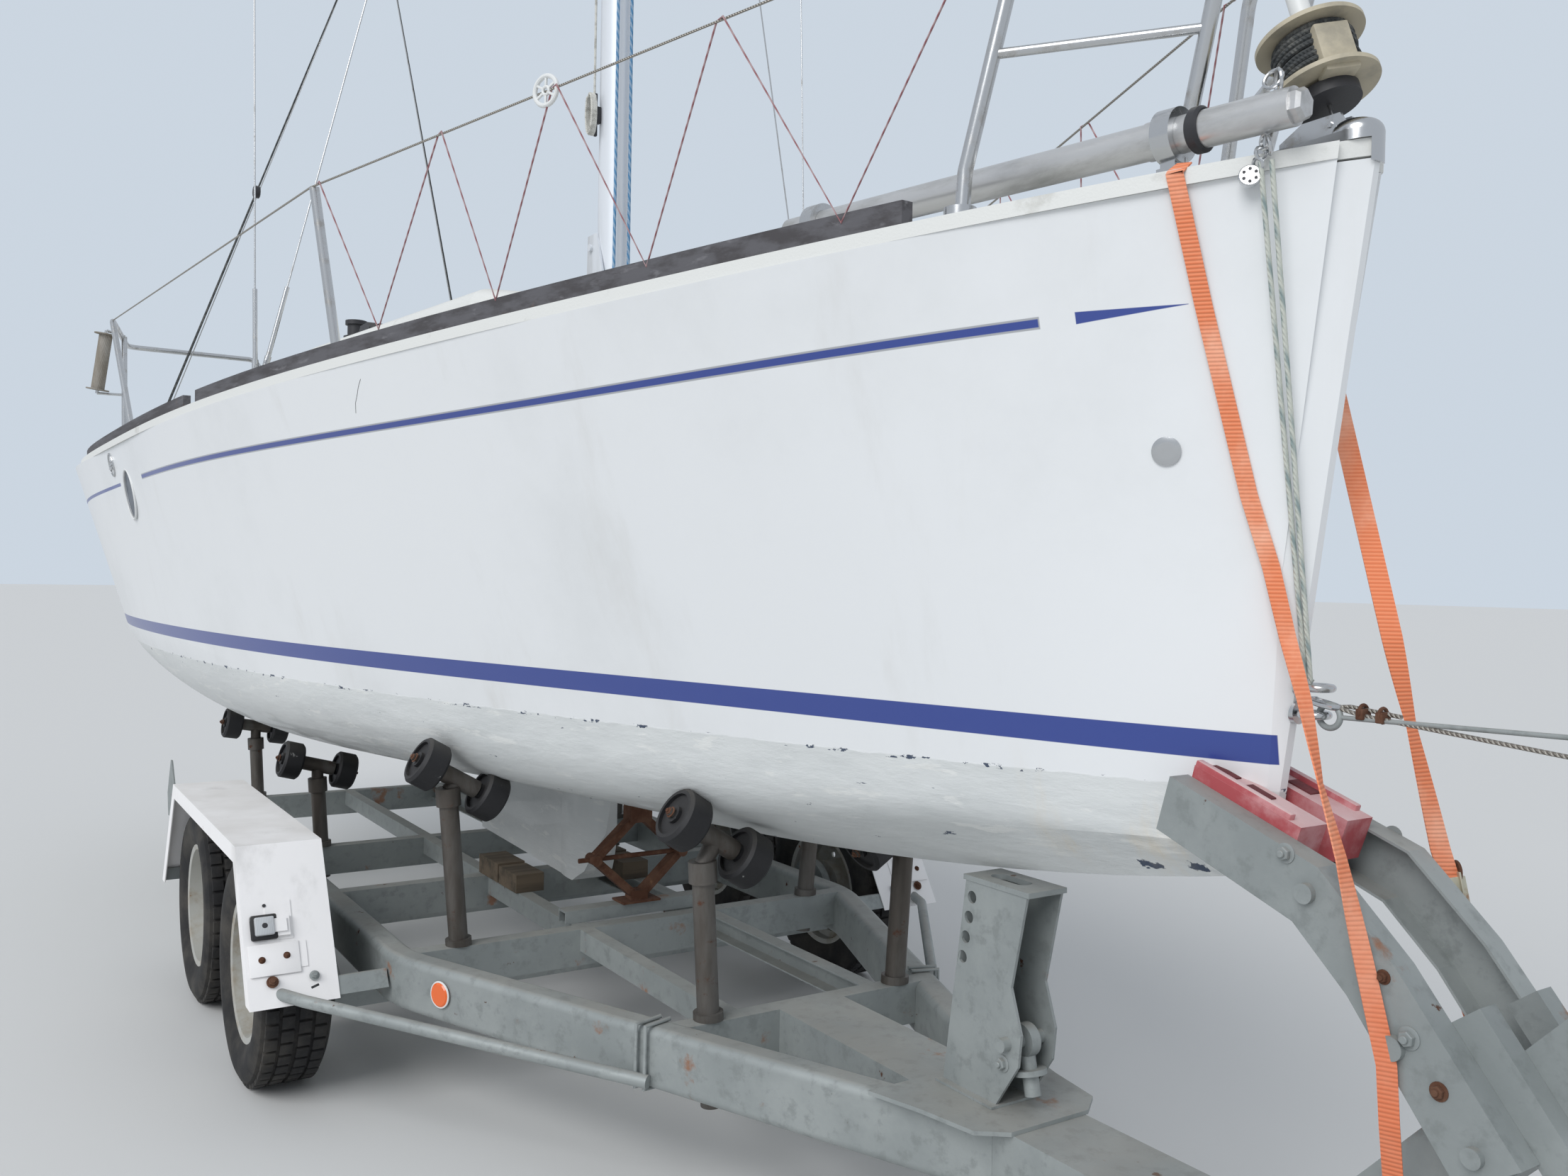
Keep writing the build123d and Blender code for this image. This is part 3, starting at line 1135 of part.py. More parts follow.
drum_centre = winch_foot + winch_run * 662 + winch_up * (winch_size / 2 + 62)
drum_radius_winch = 24.0
base_start = winch_foot + winch_run * 575 + winch_up * (winch_size / 2 + seat + 3)
plate = beam(base_start, base_start + winch_run * 160, 96, 6)
winch = plate
for low_y in (-47, 42):
    cheek = make_face(Polyline((-75, 0), (75, 0), (58, 70), (20, 100), (-20, 100), (-58, 70), close=True))
    plane = Plane(origin=drum_centre - winch_up * 60 + Vector(0, low_y, 0), x_dir=winch_run,
                  z_dir=winch_run.cross(winch_up))
    side = extrude(plane * cheek, 5)
    if abs(side.center().Y - low_y - 2.5) > 1:
        side = Pos(0, 5, 0) * side
    winch += side
winch += Pos(drum_centre) * Rot(90, 0, 0) * Cylinder(drum_radius_winch, 90)
shaft_spot = drum_centre + winch_run * 28 + winch_up * 20
winch += Pos(shaft_spot) * Rot(90, 0, 0) * Cylinder(8, 190)
gear_spot = drum_centre + Vector(0, -53, 0)
winch += Pos(gear_spot) * Rot(90, 0, 0) * Cylinder(52, 9)
crank_low = shaft_spot + Vector(0, -92, 0)
crank_high = crank_low + Vector(0.3, 0, -0.95) * 190
winch += rod(crank_low, crank_high, 7) + rod(crank_high, crank_high + Vector(0, -95, 0), 13)
solids["winch"] = [winch]
wire_end = drum_centre + Vector(-drum_radius_winch * 0.2, 0, drum_radius_winch + 4)
shackle_radius = 17.0
shackle_bar = 4.5
eye_hole = fx((hull_stations[0][6] - eye_heights[1]) * stem_slope) + 14 + 2 * eye_radius - eye_bar
shackle_x = eye_hole - shackle_bar - 2 * seat + shackle_radius
shackle = Pos(shackle_x, 0, eye_heights[1]) * Rot(90, 0, 0) * Torus(shackle_radius, shackle_bar)
wire = shackle + rod((shackle_x + shackle_radius, 0, eye_heights[1]), wire_end, 3.5)
solids["winch"].append(wire)
# arms: top edge and bottom edge in side view, (ahead of the stem, height)
arm_top = [(-238, 1096), (16, 1008), (130, 902), (292, 704)]
arm_bottom = [(216, 652), (62, 848), (-22, 926), (-262, 1012)]
arm_in = 86.0
arm_out = 128.0
arm_wall = 4.0
arm_points = [(fx(-a), z) for a, z in arm_top + arm_bottom]
arm = side_plate(arm_points, arm_in, arm_out)
pocket = offset(make_face(Polyline(*[(x, 0, z) for x, z in arm_points], close=True)), -arm_wall)
arm -= Pos(0, arm_in - 1, 0) * extrude(pocket, arm_out - arm_wall - arm_in + 1, dir=(0, 1, 0))
for ahead, z, radius in ((130, 800, 16), (0, 970, 14), (236, 700, 13)):
    arm += Pos(fx(-ahead), arm_out + 4, z) * Rot(90, 0, 0) * Cylinder(radius, 12)
solids["bow_arms"] = both_sides(arm)
link_points = [(fx(-a), z) for a, z in [(178, 838), (216, 868), (404, 630), (366, 600)]]
link = side_plate(link_points, winch_size / 2 + seat, arm_in - seat)
solids["bow_arms"] += both_sides(link)
pad = side_plate([(fx(-a), z) for a, z in [(-226, 1112), (-40, 1048), (-62, 984), (-248, 1030)]],
                 24, arm_in - seat)
solids["bow_pads"] = both_sides(pad - hull_cutter)

for name, pieces in solids.items():
    export_step(Compound(children=list(pieces)), "parts/" + name + ".step")
    print(name, len(pieces))
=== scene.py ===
import math
import bmesh
import bpy
from mathutils import Matrix, Vector


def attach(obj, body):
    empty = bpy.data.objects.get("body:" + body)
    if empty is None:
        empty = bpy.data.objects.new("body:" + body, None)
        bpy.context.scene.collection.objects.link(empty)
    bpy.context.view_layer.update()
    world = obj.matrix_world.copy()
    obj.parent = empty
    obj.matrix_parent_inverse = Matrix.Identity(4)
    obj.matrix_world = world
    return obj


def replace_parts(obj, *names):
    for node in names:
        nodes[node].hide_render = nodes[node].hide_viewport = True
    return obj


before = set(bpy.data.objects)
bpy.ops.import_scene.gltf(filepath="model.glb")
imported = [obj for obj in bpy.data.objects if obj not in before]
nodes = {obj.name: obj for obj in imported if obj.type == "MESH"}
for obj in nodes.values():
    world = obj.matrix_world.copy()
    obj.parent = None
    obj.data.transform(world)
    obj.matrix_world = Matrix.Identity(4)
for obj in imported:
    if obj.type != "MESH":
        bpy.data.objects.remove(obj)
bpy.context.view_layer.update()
print("frame loaded:", len(nodes), "nodes")

# Camera at the photo's place, the lamps, the floor and the backdrop
cameraSetup = {"place": (3.7107, -1.6822, 1.3913), "look": (-0.83885, 0.54427, -0.00990),
               "up": (-0.01780, -0.00924, 0.99980), "lens": 29.39, "sensor": 36.0, "reach": 300.0}
lightSetup = {"sky": (0.86, 0.92, 1.0), "skyPower": 0.64, "backdrop": (0.60, 0.67, 0.75),
              "sunPower": 1.75, "sunAngle": 38.0, "sunTurn": (52.0, 0.0, 24.0), "floor": (0.66, 0.66, 0.65)}

cameraData = bpy.data.cameras.new("photoCamera")
cameraData.lens = cameraSetup["lens"]
cameraData.sensor_width = cameraSetup["sensor"]
cameraData.clip_end = cameraSetup["reach"]
camera = bpy.data.objects.new("photoCamera", cameraData)
bpy.context.scene.collection.objects.link(camera)
lookRun = Vector(cameraSetup["look"]).normalized()
upRun = Vector(cameraSetup["up"]).normalized()
rightRun = lookRun.cross(upRun).normalized()
turn = Matrix((rightRun, rightRun.cross(lookRun), -lookRun)).transposed().to_4x4()
camera.matrix_world = Matrix.Translation(cameraSetup["place"]) @ turn
bpy.context.scene.camera = camera
bpy.context.scene.view_settings.view_transform = "Standard"

sunData = bpy.data.lights.new("softSun", "SUN")
sunData.energy = lightSetup["sunPower"]
sunData.angle = math.radians(lightSetup["sunAngle"])
sun = bpy.data.objects.new("softSun", sunData)
sun.rotation_euler = [math.radians(degrees) for degrees in lightSetup["sunTurn"]]
bpy.context.scene.collection.objects.link(sun)

world = bpy.data.worlds.new("studio")
bpy.context.scene.world = world
world.use_nodes = True
worldNodes = world.node_tree.nodes
skyShade = worldNodes["Background"]
skyShade.inputs["Color"].default_value = (*lightSetup["sky"], 1.0)
skyShade.inputs["Strength"].default_value = lightSetup["skyPower"]
backShade = worldNodes.new("ShaderNodeBackground")
backShade.inputs["Color"].default_value = (*lightSetup["backdrop"], 1.0)
rays = worldNodes.new("ShaderNodeLightPath")
choose = worldNodes.new("ShaderNodeMixShader")
world.node_tree.links.new(rays.outputs["Is Camera Ray"], choose.inputs["Fac"])
world.node_tree.links.new(skyShade.outputs["Background"], choose.inputs[1])
world.node_tree.links.new(backShade.outputs["Background"], choose.inputs[2])
world.node_tree.links.new(choose.outputs["Shader"], worldNodes["World Output"].inputs["Surface"])


# A node with its settings and values; a value that is a socket is linked
def newNode(tree, kind, values=None, **settings):
    node = tree.nodes.new(kind)
    for name, value in settings.items():
        setattr(node, name, value)
    for socket, value in (values or {}).items():
        if isinstance(value, bpy.types.NodeSocket):
            tree.links.new(value, node.inputs[socket])
        else:
            node.inputs[socket].default_value = value
    return node


def put(tree, kind, values=None, **settings):
    return newNode(tree, "ShaderNode" + kind, values, **settings)


def calc(tree, operation, *values, clamp=False):
    return put(tree, "Math", dict(enumerate(values)), operation=operation, use_clamp=clamp).outputs[0]


def shaderGroup(name, inputs, outputs):
    tree = bpy.data.node_groups.new(name, "ShaderNodeTree")
    for label, kind, value in inputs:
        socket = tree.interface.new_socket(name=label, in_out="INPUT", socket_type="NodeSocket" + kind)
        socket.default_value = value
    for label, kind in outputs:
        tree.interface.new_socket(name=label, in_out="OUTPUT", socket_type="NodeSocket" + kind)
    return tree, tree.nodes.new("NodeGroupInput").outputs, tree.nodes.new("NodeGroupOutput").inputs


def smoothStep(tree, value, low, high):
    return put(tree, "MapRange", {"Value": value, "From Min": low, "From Max": high},
               interpolation_type="SMOOTHSTEP").outputs["Result"]


# Ragged patches of dirt, rust or worn paint; Stretch sets how long they run along each axis
patches, given, out = shaderGroup("patches", [("Scale", "Float", 8.0), ("Low", "Float", 0.5),
                                              ("High", "Float", 0.6), ("Stretch", "Vector", (1.0, 1.0, 1.0)),
                                              ("Shift", "Float", 0.0)], [("Mask", "Float")])
spot = put(patches, "TexCoord").outputs["Object"]
spot = put(patches, "VectorMath", {0: spot, 1: given["Stretch"]}, operation="MULTIPLY").outputs[0]
cloud = put(patches, "TexNoise", {"Vector": spot, "W": given["Shift"], "Scale": given["Scale"],
                                  "Detail": 7.0, "Roughness": 0.62}, noise_dimensions="4D").outputs[0]
patches.links.new(smoothStep(patches, cloud, given["Low"], given["High"]), out["Mask"])

# A box in metres, with a soft edge and a wobble that makes it ragged
boxArea, given, out = shaderGroup("boxArea", [("From", "Vector", (-20.0,) * 3), ("To", "Vector", (20.0,) * 3),
                                              ("Soft", "Float", 0.001), ("Wobble", "Float", 0.0),
                                              ("Scale", "Float", 30.0), ("Lift", "Float", 0.0)],
                                  [("Mask", "Float")])
spot = put(boxArea, "TexCoord").outputs["Object"]
shake = put(boxArea, "TexNoise", {"Vector": spot, "Scale": given["Scale"], "Detail": 4.0}).outputs["Color"]
shake = put(boxArea, "VectorMath", {0: shake, 1: (0.5, 0.5, 0.5)}, operation="SUBTRACT").outputs[0]
shake = put(boxArea, "VectorMath", {0: shake, "Scale": given["Wobble"]}, operation="SCALE").outputs[0]
spot = put(boxArea, "VectorMath", {0: spot, 1: shake}, operation="ADD").outputs[0]
spotParts = list(put(boxArea, "SeparateXYZ", {0: spot}).outputs)
forward = calc(boxArea, "POWER", calc(boxArea, "MAXIMUM", spotParts[0], 0.0), 3.0)
spotParts[2] = calc(boxArea, "SUBTRACT", spotParts[2], calc(boxArea, "MULTIPLY", forward, given["Lift"]))
fromParts = put(boxArea, "SeparateXYZ", {0: given["From"]}).outputs
toParts = put(boxArea, "SeparateXYZ", {0: given["To"]}).outputs
inside = None
for axis in range(3):
    for nearer, further in ((fromParts[axis], spotParts[axis]), (spotParts[axis], toParts[axis])):
        depth = calc(boxArea, "SUBTRACT", further, nearer)
        share = calc(boxArea, "DIVIDE", depth, given["Soft"])
        share = calc(boxArea, "ADD", share, 0.5, clamp=True)
        inside = share if inside is None else calc(boxArea, "MULTIPLY", inside, share)
boxArea.links.new(inside, out["Mask"])

# A line along the boat whose height is a cubic of x, with its half width and its reach along x
lineSharp = 900.0  # one over the width of the line's soft edge
lineMost = 0.014  # the most that a tapered line's half width grows to
sweepLine, given, out = shaderGroup("sweepLine", [("A", "Float", 0.0), ("B", "Float", 0.0),
                                                  ("C", "Float", 0.0), ("D", "Float", 0.0),
                                                  ("Half", "Float", 0.01),
                                                  ("Aft", "Float", -9.0), ("Fore", "Float", 9.0),
                                                  ("Taper", "Float", 0.0)], [("Mask", "Float")])
place = put(sweepLine, "SeparateXYZ", {0: put(sweepLine, "TexCoord").outputs["Object"]}).outputs
height = calc(sweepLine, "MULTIPLY_ADD", place[0], given["D"], given["C"])
height = calc(sweepLine, "MULTIPLY_ADD", place[0], height, given["B"])
height = calc(sweepLine, "MULTIPLY_ADD", place[0], height, given["A"])
apart = calc(sweepLine, "ABSOLUTE", calc(sweepLine, "SUBTRACT", place[2], height))
left = calc(sweepLine, "SUBTRACT", given["Fore"], place[0])
reach = calc(sweepLine, "MULTIPLY_ADD", left, given["Taper"], given["Half"])
room = calc(sweepLine, "SUBTRACT", calc(sweepLine, "MINIMUM", reach, lineMost), apart)
across = calc(sweepLine, "MULTIPLY_ADD", room, lineSharp, 0.5, clamp=True)
ahead = calc(sweepLine, "MULTIPLY_ADD", left, lineSharp, 0.5, clamp=True)
behind = calc(sweepLine, "SUBTRACT", place[0], given["Aft"])
behind = calc(sweepLine, "MULTIPLY_ADD", behind, lineSharp, 0.5, clamp=True)
line = calc(sweepLine, "MULTIPLY", calc(sweepLine, "MULTIPLY", across, ahead), behind)
sweepLine.links.new(line, out["Mask"])

# Dust that lies on faces that look up
dust, given, out = shaderGroup("dust", [("Scale", "Float", 5.0), ("Steep", "Float", 0.5)],
                               [("Mask", "Float")])
facing = put(dust, "SeparateXYZ", {0: put(dust, "NewGeometry").outputs["Normal"]}).outputs[2]
facing = smoothStep(dust, facing, given["Steep"], 1.0)
spot = put(dust, "TexCoord").outputs["Object"]
cloud = put(dust, "TexNoise", {"Vector": spot, "Scale": given["Scale"], "Detail": 5.0}).outputs[0]
cloud = calc(dust, "MULTIPLY_ADD", cloud, 1.3, 0.0, clamp=True)
dust.links.new(calc(dust, "MULTIPLY", facing, cloud), out["Mask"])

# Fine unevenness for bumps: grain, weave or orange peel
grain, given, out = shaderGroup("grain", [("Scale", "Float", 60.0), ("Stretch", "Vector", (1.0, 1.0, 1.0))],
                                [("Height", "Float")])
spot = put(grain, "TexCoord").outputs["Object"]
spot = put(grain, "VectorMath", {0: spot, 1: given["Stretch"]}, operation="MULTIPLY").outputs[0]
cloud = put(grain, "TexNoise", {"Vector": spot, "Scale": given["Scale"], "Detail": 5.0}).outputs[0]
grain.links.new(cloud, out["Height"])

# Even ribs or a weave, by sine waves along the axes given
ribs, given, out = shaderGroup("ribs", [("Waves", "Vector", (0.0, 0.0, 300.0))], [("Height", "Float")])
spot = put(ribs, "TexCoord").outputs["Object"]
phase = put(ribs, "VectorMath", {0: spot, 1: given["Waves"]}, operation="DOT_PRODUCT").outputs["Value"]
wave = calc(ribs, "SINE", calc(ribs, "MULTIPLY", phase, 2.0 * math.pi))
ribs.links.new(calc(ribs, "MULTIPLY_ADD", wave, 0.5, 0.5), out["Height"])

groups = {"patches": patches, "boxArea": boxArea, "sweepLine": sweepLine, "dust": dust, "grain": grain,
          "ribs": ribs}
plainKeys = ("kind", "colour", "rough", "amount", "inside", "strength", "metal")  # not a group's inputs


def effect(tree, layer):
    node = put(tree, "Group", node_tree=groups[layer["kind"]])
    for label, value in layer.items():
        if label not in plainKeys:
            node.inputs[label].default_value = value
    value = node.outputs[0]
    if "inside" in layer:
        value = calc(tree, "MULTIPLY", value, effect(tree, layer["inside"]))
    if "amount" in layer:
        value = calc(tree, "MULTIPLY", value, layer["amount"])
    return value


def blendIn(tree, kind, mask, under, over):
    first, second, result = (6, 7, 2) if kind == "RGBA" else (2, 3, 0)
    return put(tree, "Mix", {0: mask, first: under, second: over}, data_type=kind).outputs[result]


bumpDistance = 0.002


# A material: base values, layers of colour and roughness over it, and bumps
def finish(name, base, roughness, metallic=0.0, coat=0.0, transmission=0.0, layers=(), bumps=()):
    material = bpy.data.materials.new(name)
    material.use_nodes = True
    tree = material.node_tree
    shader = tree.nodes["Principled BSDF"].inputs
    colour, rough, metal = (*base, 1.0), roughness, metallic
    for layer in layers:
        mask = effect(tree, layer)
        colour = blendIn(tree, "RGBA", mask, colour, (*layer["colour"], 1.0))
        if "rough" in layer:
            rough = blendIn(tree, "FLOAT", mask, rough, layer["rough"])
        if "metal" in layer:
            metal = blendIn(tree, "FLOAT", mask, metal, layer["metal"])
    for label, value in (("Base Color", colour), ("Roughness", rough), ("Metallic", metal)):
        if isinstance(value, bpy.types.NodeSocket):
            tree.links.new(value, shader[label])
        else:
            shader[label].default_value = value
    shader["Coat Weight"].default_value = coat
    shader["Transmission Weight"].default_value = transmission
    normal = None
    for bump in bumps:
        values = {"Strength": bump["strength"], "Distance": bumpDistance, "Height": effect(tree, bump)}
        if normal is not None:
            values["Normal"] = normal
        normal = put(tree, "Bump", values).outputs[0]
    if normal is not None:
        tree.links.new(normal, shader["Normal"])
    return material


# Layers in short: ragged patches, dust, a box, grain and ribs
def patch(scale, low, high, colour=None, **more):
    return {"kind": "patches", "Scale": scale, "Low": low, "High": high, "colour": colour, **more}


def dusty(scale, colour, **more):
    return {"kind": "dust", "Scale": scale, "colour": colour, **more}


def boxed(start, end, soft, **more):
    return {"kind": "boxArea", "From": start, "To": end, "Soft": soft, **more}


def grained(scale, strength, **more):
    return {"kind": "grain", "Scale": scale, "strength": strength, **more}


def ribbed(waves, **more):
    return {"kind": "ribs", "Waves": waves, **more}


# Colours that more than one material shares
rustDark = (0.085, 0.032, 0.015)
rustLight = (0.26, 0.105, 0.042)
roadDust = (0.34, 0.30, 0.25)
grime = (0.30, 0.29, 0.27)
stripeBlue = (0.036, 0.066, 0.29)
oldBlue = (0.055, 0.075, 0.12)  # the coat under the bottom paint

# Stretches that let a pattern run along one axis
alongHull = (0.05, 1.0, 1.0)
alongMast = (1.0, 1.0, 0.12)
alongPost = (1.0, 1.0, 0.2)

# Where the hull's stripes run; heights are cubics of x
far = 20.0  # past the hull on any side
coveLine = {"kind": "sweepLine", "A": 1.7226, "B": 0.01524, "C": 0.00400, "D": 0.00146}
coveStripe = {**coveLine, "Half": 0.0062, "colour": stripeBlue}
paintEdge, paintLift = 1.0500, 0.0019
bootStripe = {"low": 1.120, "high": 1.165, "fore": 2.51}
belowPaint = boxed((-far, -far, -far), (far, far, paintEdge), 0.003, Wobble=0.008, Scale=24.0, Lift=paintLift)
bottomArea = boxed((-far, -far, 0.70), (far, far, paintEdge), 0.02, Lift=paintLift)
edgeArea = boxed((-2.0, -far, paintEdge - 0.006), (far, far, paintEdge + 0.003), 0.002, Lift=paintLift)
forefootArea = boxed((2.10, -far, 0.90), (2.48, far, 1.115), 0.06)
paintChip = {"Wobble": 0.030, "Scale": 60.0, "colour": oldBlue, "rough": 0.8}

finishes = {
    "hull_gelcoat": {
        "base": (0.82, 0.835, 0.845), "roughness": 0.30, "coat": 0.25,
        "layers": [
            patch(1.1, 0.45, 0.75, (0.74, 0.755, 0.76), rough=0.42),
            patch(5.0, 0.56, 0.82, (0.62, 0.61, 0.58), Stretch=(1.0, 1.0, 0.08), amount=0.45),
            patch(90.0, 0.765, 0.79, (0.35, 0.33, 0.30), Shift=3.0, amount=0.7),
            {**belowPaint, "colour": (0.70, 0.72, 0.715), "rough": 0.62},
            patch(3.0, 0.46, 0.68, (0.55, 0.575, 0.575), Stretch=(0.5, 1.0, 1.6), rough=0.7,
                  inside=belowPaint, amount=0.6),
            patch(14.0, 0.57, 0.62, (0.78, 0.79, 0.77), Stretch=(0.35, 1.0, 1.8), Shift=5.0,
                  inside=belowPaint, amount=0.8),
            patch(26.0, 0.675, 0.690, oldBlue, Stretch=(0.5, 1.0, 1.3), Shift=9.0, rough=0.8,
                  inside=bottomArea),
            patch(40.0, 0.575, 0.59, oldBlue, Stretch=(0.6, 1.0, 1.0), Shift=12.0, rough=0.8,
                  inside=edgeArea),
            boxed((2.252, -far, 0.918), (2.298, far, 0.931), 0.002, **paintChip),
            boxed((2.350, -far, 0.933), (2.382, far, 0.943), 0.002, **paintChip),
            patch(3.5, 0.48, 0.66, (0.72, 0.60, 0.42), Stretch=(1.6, 1.0, 0.35), Shift=21.0,
                  inside=forefootArea, amount=0.55),
            boxed((-far, -far, bootStripe["low"]), (bootStripe["fore"], far, bootStripe["high"]), 0.0012,
                  colour=stripeBlue, rough=0.28),
            # A grey band a little wider than the blue cove stripe, lying under it: painted shade at the
            # groove's edges
            {**coveLine, "Half": 0.0095, "Aft": -1.40, "Fore": 2.240, "colour": (0.40, 0.41, 0.43)},
            {**coveStripe, "Aft": -1.40, "Fore": 2.238},
            {**coveStripe, "Aft": -3.60, "Fore": -1.863},
            {**coveStripe, "Half": 0.0004, "Aft": 2.290, "Fore": 2.436, "Taper": 0.06}],
        "bumps": [grained(9.0, 0.10),
                  patch(18.0, 0.35, 0.7, Stretch=(0.4, 1.0, 1.5), strength=0.5, inside=belowPaint)]},
    "deck_gelcoat": {
        "base": (0.74, 0.745, 0.72), "roughness": 0.55,
        "layers": [dusty(4.0, (0.50, 0.49, 0.45), Steep=0.6, amount=0.6, rough=0.75),
                   patch(9.0, 0.6, 0.72, (0.42, 0.41, 0.37), amount=0.5)],
        "bumps": [grained(240.0, 0.25)]},
    "dark_glass": {
        "base": (0.10, 0.11, 0.12), "roughness": 0.08, "transmission": 0.6,
        "layers": [patch(30.0, 0.5, 0.8, (0.22, 0.22, 0.21), rough=0.3, amount=0.5)]},
    "dark_acrylic": {
        "base": (0.035, 0.040, 0.045), "roughness": 0.14,
        "layers": [dusty(6.0, (0.22, 0.22, 0.20), rough=0.5, amount=0.5)]},
    "weathered_teak": {
        "base": (0.108, 0.106, 0.116), "roughness": 0.82,
        "layers": [patch(30.0, 0.42, 0.62, (0.062, 0.058, 0.062), Stretch=alongHull),
                   patch(44.0, 0.56, 0.70, (0.175, 0.172, 0.185), Stretch=(0.07, 1.0, 1.0), Shift=4.0),
                   patch(3.0, 0.62, 0.68, (0.26, 0.14, 0.08), amount=0.35, Shift=8.0)],
        "bumps": [grained(46.0, 0.7, Stretch=alongHull)]},
    "stainless": {
        "base": (0.60, 0.61, 0.62), "roughness": 0.22, "metallic": 1.0,
        "layers": [patch(24.0, 0.5, 0.75, (0.42, 0.40, 0.37), rough=0.45)]},
    "bright_tube": {
        "base": (0.66, 0.66, 0.66), "roughness": 0.34, "metallic": 0.8,
        "layers": [patch(16.0, 0.45, 0.75, (0.40, 0.40, 0.39), Stretch=(0.25, 1.0, 1.0), rough=0.55)],
        "bumps": [grained(60.0, 0.15)]},
    "dark_plastic": {
        "base": (0.030, 0.030, 0.034), "roughness": 0.5,
        "layers": [dusty(9.0, (0.16, 0.155, 0.14), rough=0.8)],
        "bumps": [grained(150.0, 0.1)]},
    "beige_plastic": {
        "base": (0.50, 0.445, 0.33), "roughness": 0.55,
        "layers": [patch(14.0, 0.45, 0.7, (0.33, 0.30, 0.235))],
        "bumps": [grained(90.0, 0.15)]},
    "white_foil": {
        "base": (0.76, 0.77, 0.76), "roughness": 0.42,
        "layers": [patch(8.0, 0.5, 0.7, (0.52, 0.51, 0.47), Stretch=(1.0, 1.0, 0.1), amount=0.7)]},
    "anodised": {
        "base": (0.75, 0.78, 0.82), "roughness": 0.42, "metallic": 0.2,
        "layers": [patch(7.0, 0.48, 0.72, (0.47, 0.48, 0.49), Stretch=alongMast, rough=0.6)]},
    "galvanised": {
        "base": (0.275, 0.300, 0.298), "roughness": 0.58, "metallic": 0.25,
        "layers": [patch(4.0, 0.40, 0.66, (0.34, 0.365, 0.36), rough=0.5),
                   patch(28.0, 0.50, 0.66, (0.21, 0.23, 0.225), amount=0.6),
                   patch(7.0, 0.625, 0.70, rustLight, rough=0.9, metal=0.0, Shift=2.0, amount=0.8),
                   patch(19.0, 0.665, 0.70, rustDark, rough=0.9, metal=0.0, Shift=6.0),
                   dusty(7.0, roadDust, Steep=0.7, rough=0.9, metal=0.0, amount=0.45)],
        "bumps": [grained(70.0, 0.25)]},
    "cast_steel": {
        "base": (0.25, 0.255, 0.26), "roughness": 0.55, "metallic": 0.6,
        "layers": [patch(12.0, 0.52, 0.62, rustLight, rough=0.9, metal=0.0)],
        "bumps": [grained(120.0, 0.4)]},
    "rusty_steel": {
        "base": (0.130, 0.062, 0.036), "roughness": 0.9,
        "layers": [patch(16.0, 0.42, 0.58, rustDark),
                   patch(34.0, 0.60, 0.70, (0.25, 0.130, 0.070), Shift=4.0, amount=0.6)],
        "bumps": [grained(110.0, 0.8)]},
    "white_paint": {
        "base": (0.90, 0.885, 0.88), "roughness": 0.5,
        "layers": [dusty(6.0, (0.50, 0.47, 0.43), Steep=0.5, rough=0.85, amount=0.6),
                   patch(6.0, 0.54, 0.70, grime, Stretch=(1.0, 1.0, 0.25), rough=0.8, amount=0.28),
                   patch(26.0, 0.69, 0.72, rustLight, Shift=3.0)],
        "bumps": [grained(30.0, 0.15)]},
    "black_rubber": {
        "base": (0.014, 0.014, 0.016), "roughness": 0.62,
        "layers": [patch(26.0, 0.66, 0.70, (0.30, 0.30, 0.29)),
                   dusty(14.0, (0.070, 0.066, 0.060), Steep=0.3, rough=0.85)],
        "bumps": [grained(120.0, 0.25)]},
    "red_pad": {
        "base": (0.42, 0.075, 0.085), "roughness": 0.6,
        "layers": [patch(9.0, 0.44, 0.62, (0.58, 0.27, 0.28), rough=0.75),
                   dusty(8.0, (0.66, 0.52, 0.51), Steep=0.2, rough=0.85)],
        "bumps": [grained(60.0, 0.2)]},
    "timber": {
        "base": (0.130, 0.098, 0.066), "roughness": 0.85,
        "layers": [patch(22.0, 0.42, 0.66, (0.060, 0.048, 0.034), Stretch=(1.0, 0.08, 1.0))],
        "bumps": [grained(40.0, 0.6, Stretch=(1.0, 0.06, 1.0))]},
    "rim_paint": {
        "base": (0.46, 0.46, 0.43), "roughness": 0.55, "metallic": 0.3,
        "layers": [patch(12.0, 0.45, 0.7, (0.36, 0.31, 0.24), rough=0.85),
                   patch(20.0, 0.63, 0.68, rustLight, rough=0.9, Shift=5.0)],
        "bumps": [grained(80.0, 0.25)]},
    "tyre": {
        "base": (0.012, 0.012, 0.013), "roughness": 0.85,
        "layers": [patch(9.0, 0.40, 0.72, (0.055, 0.050, 0.043))],
        "bumps": [grained(140.0, 0.3)]}}

slotNodes = {
    "hull_gelcoat": "hull keel_fin rudder_blade",
    "deck_gelcoat": "deck cockpit companion_slide",
    "dark_glass": "cabin_windows",
    "dark_acrylic": "forehatch",
    "weathered_teak": "toe_rails washboard tiller",
    "stainless": "stem_fittings chainplates shrouds stays pulpit pushpit stanchions rudder_straps",
    "bright_tube": "sprit",
    "dark_plastic": "furler_cup deck_gear",
    "beige_plastic": "furler_drum webbing_reel",
    "white_foil": "furler_foil",
    "anodised": "mast mast_foot spreaders forehatch_frame rudder_head",
    "galvanised": "side_beam_s side_beam_p inner_rails cross_members drawbar jockey_tube jockey_fork axles "
                  "fender_supports roller_posts nose_post winch_post winch bow_arms",
    "cast_steel": "coupling",
    "black_rubber": "jockey_wheel rollers",
    "white_paint": "fenders marker_boards",
    "rusty_steel": "scissor_jack",
    "timber": "timber_blocks",
    "red_pad": "bow_pads",
    "rim_paint": "rim_front_s rim_front_p rim_rear_s rim_rear_p",
    "tyre": "tyre_front_s tyre_front_p tyre_rear_s tyre_rear_p"}

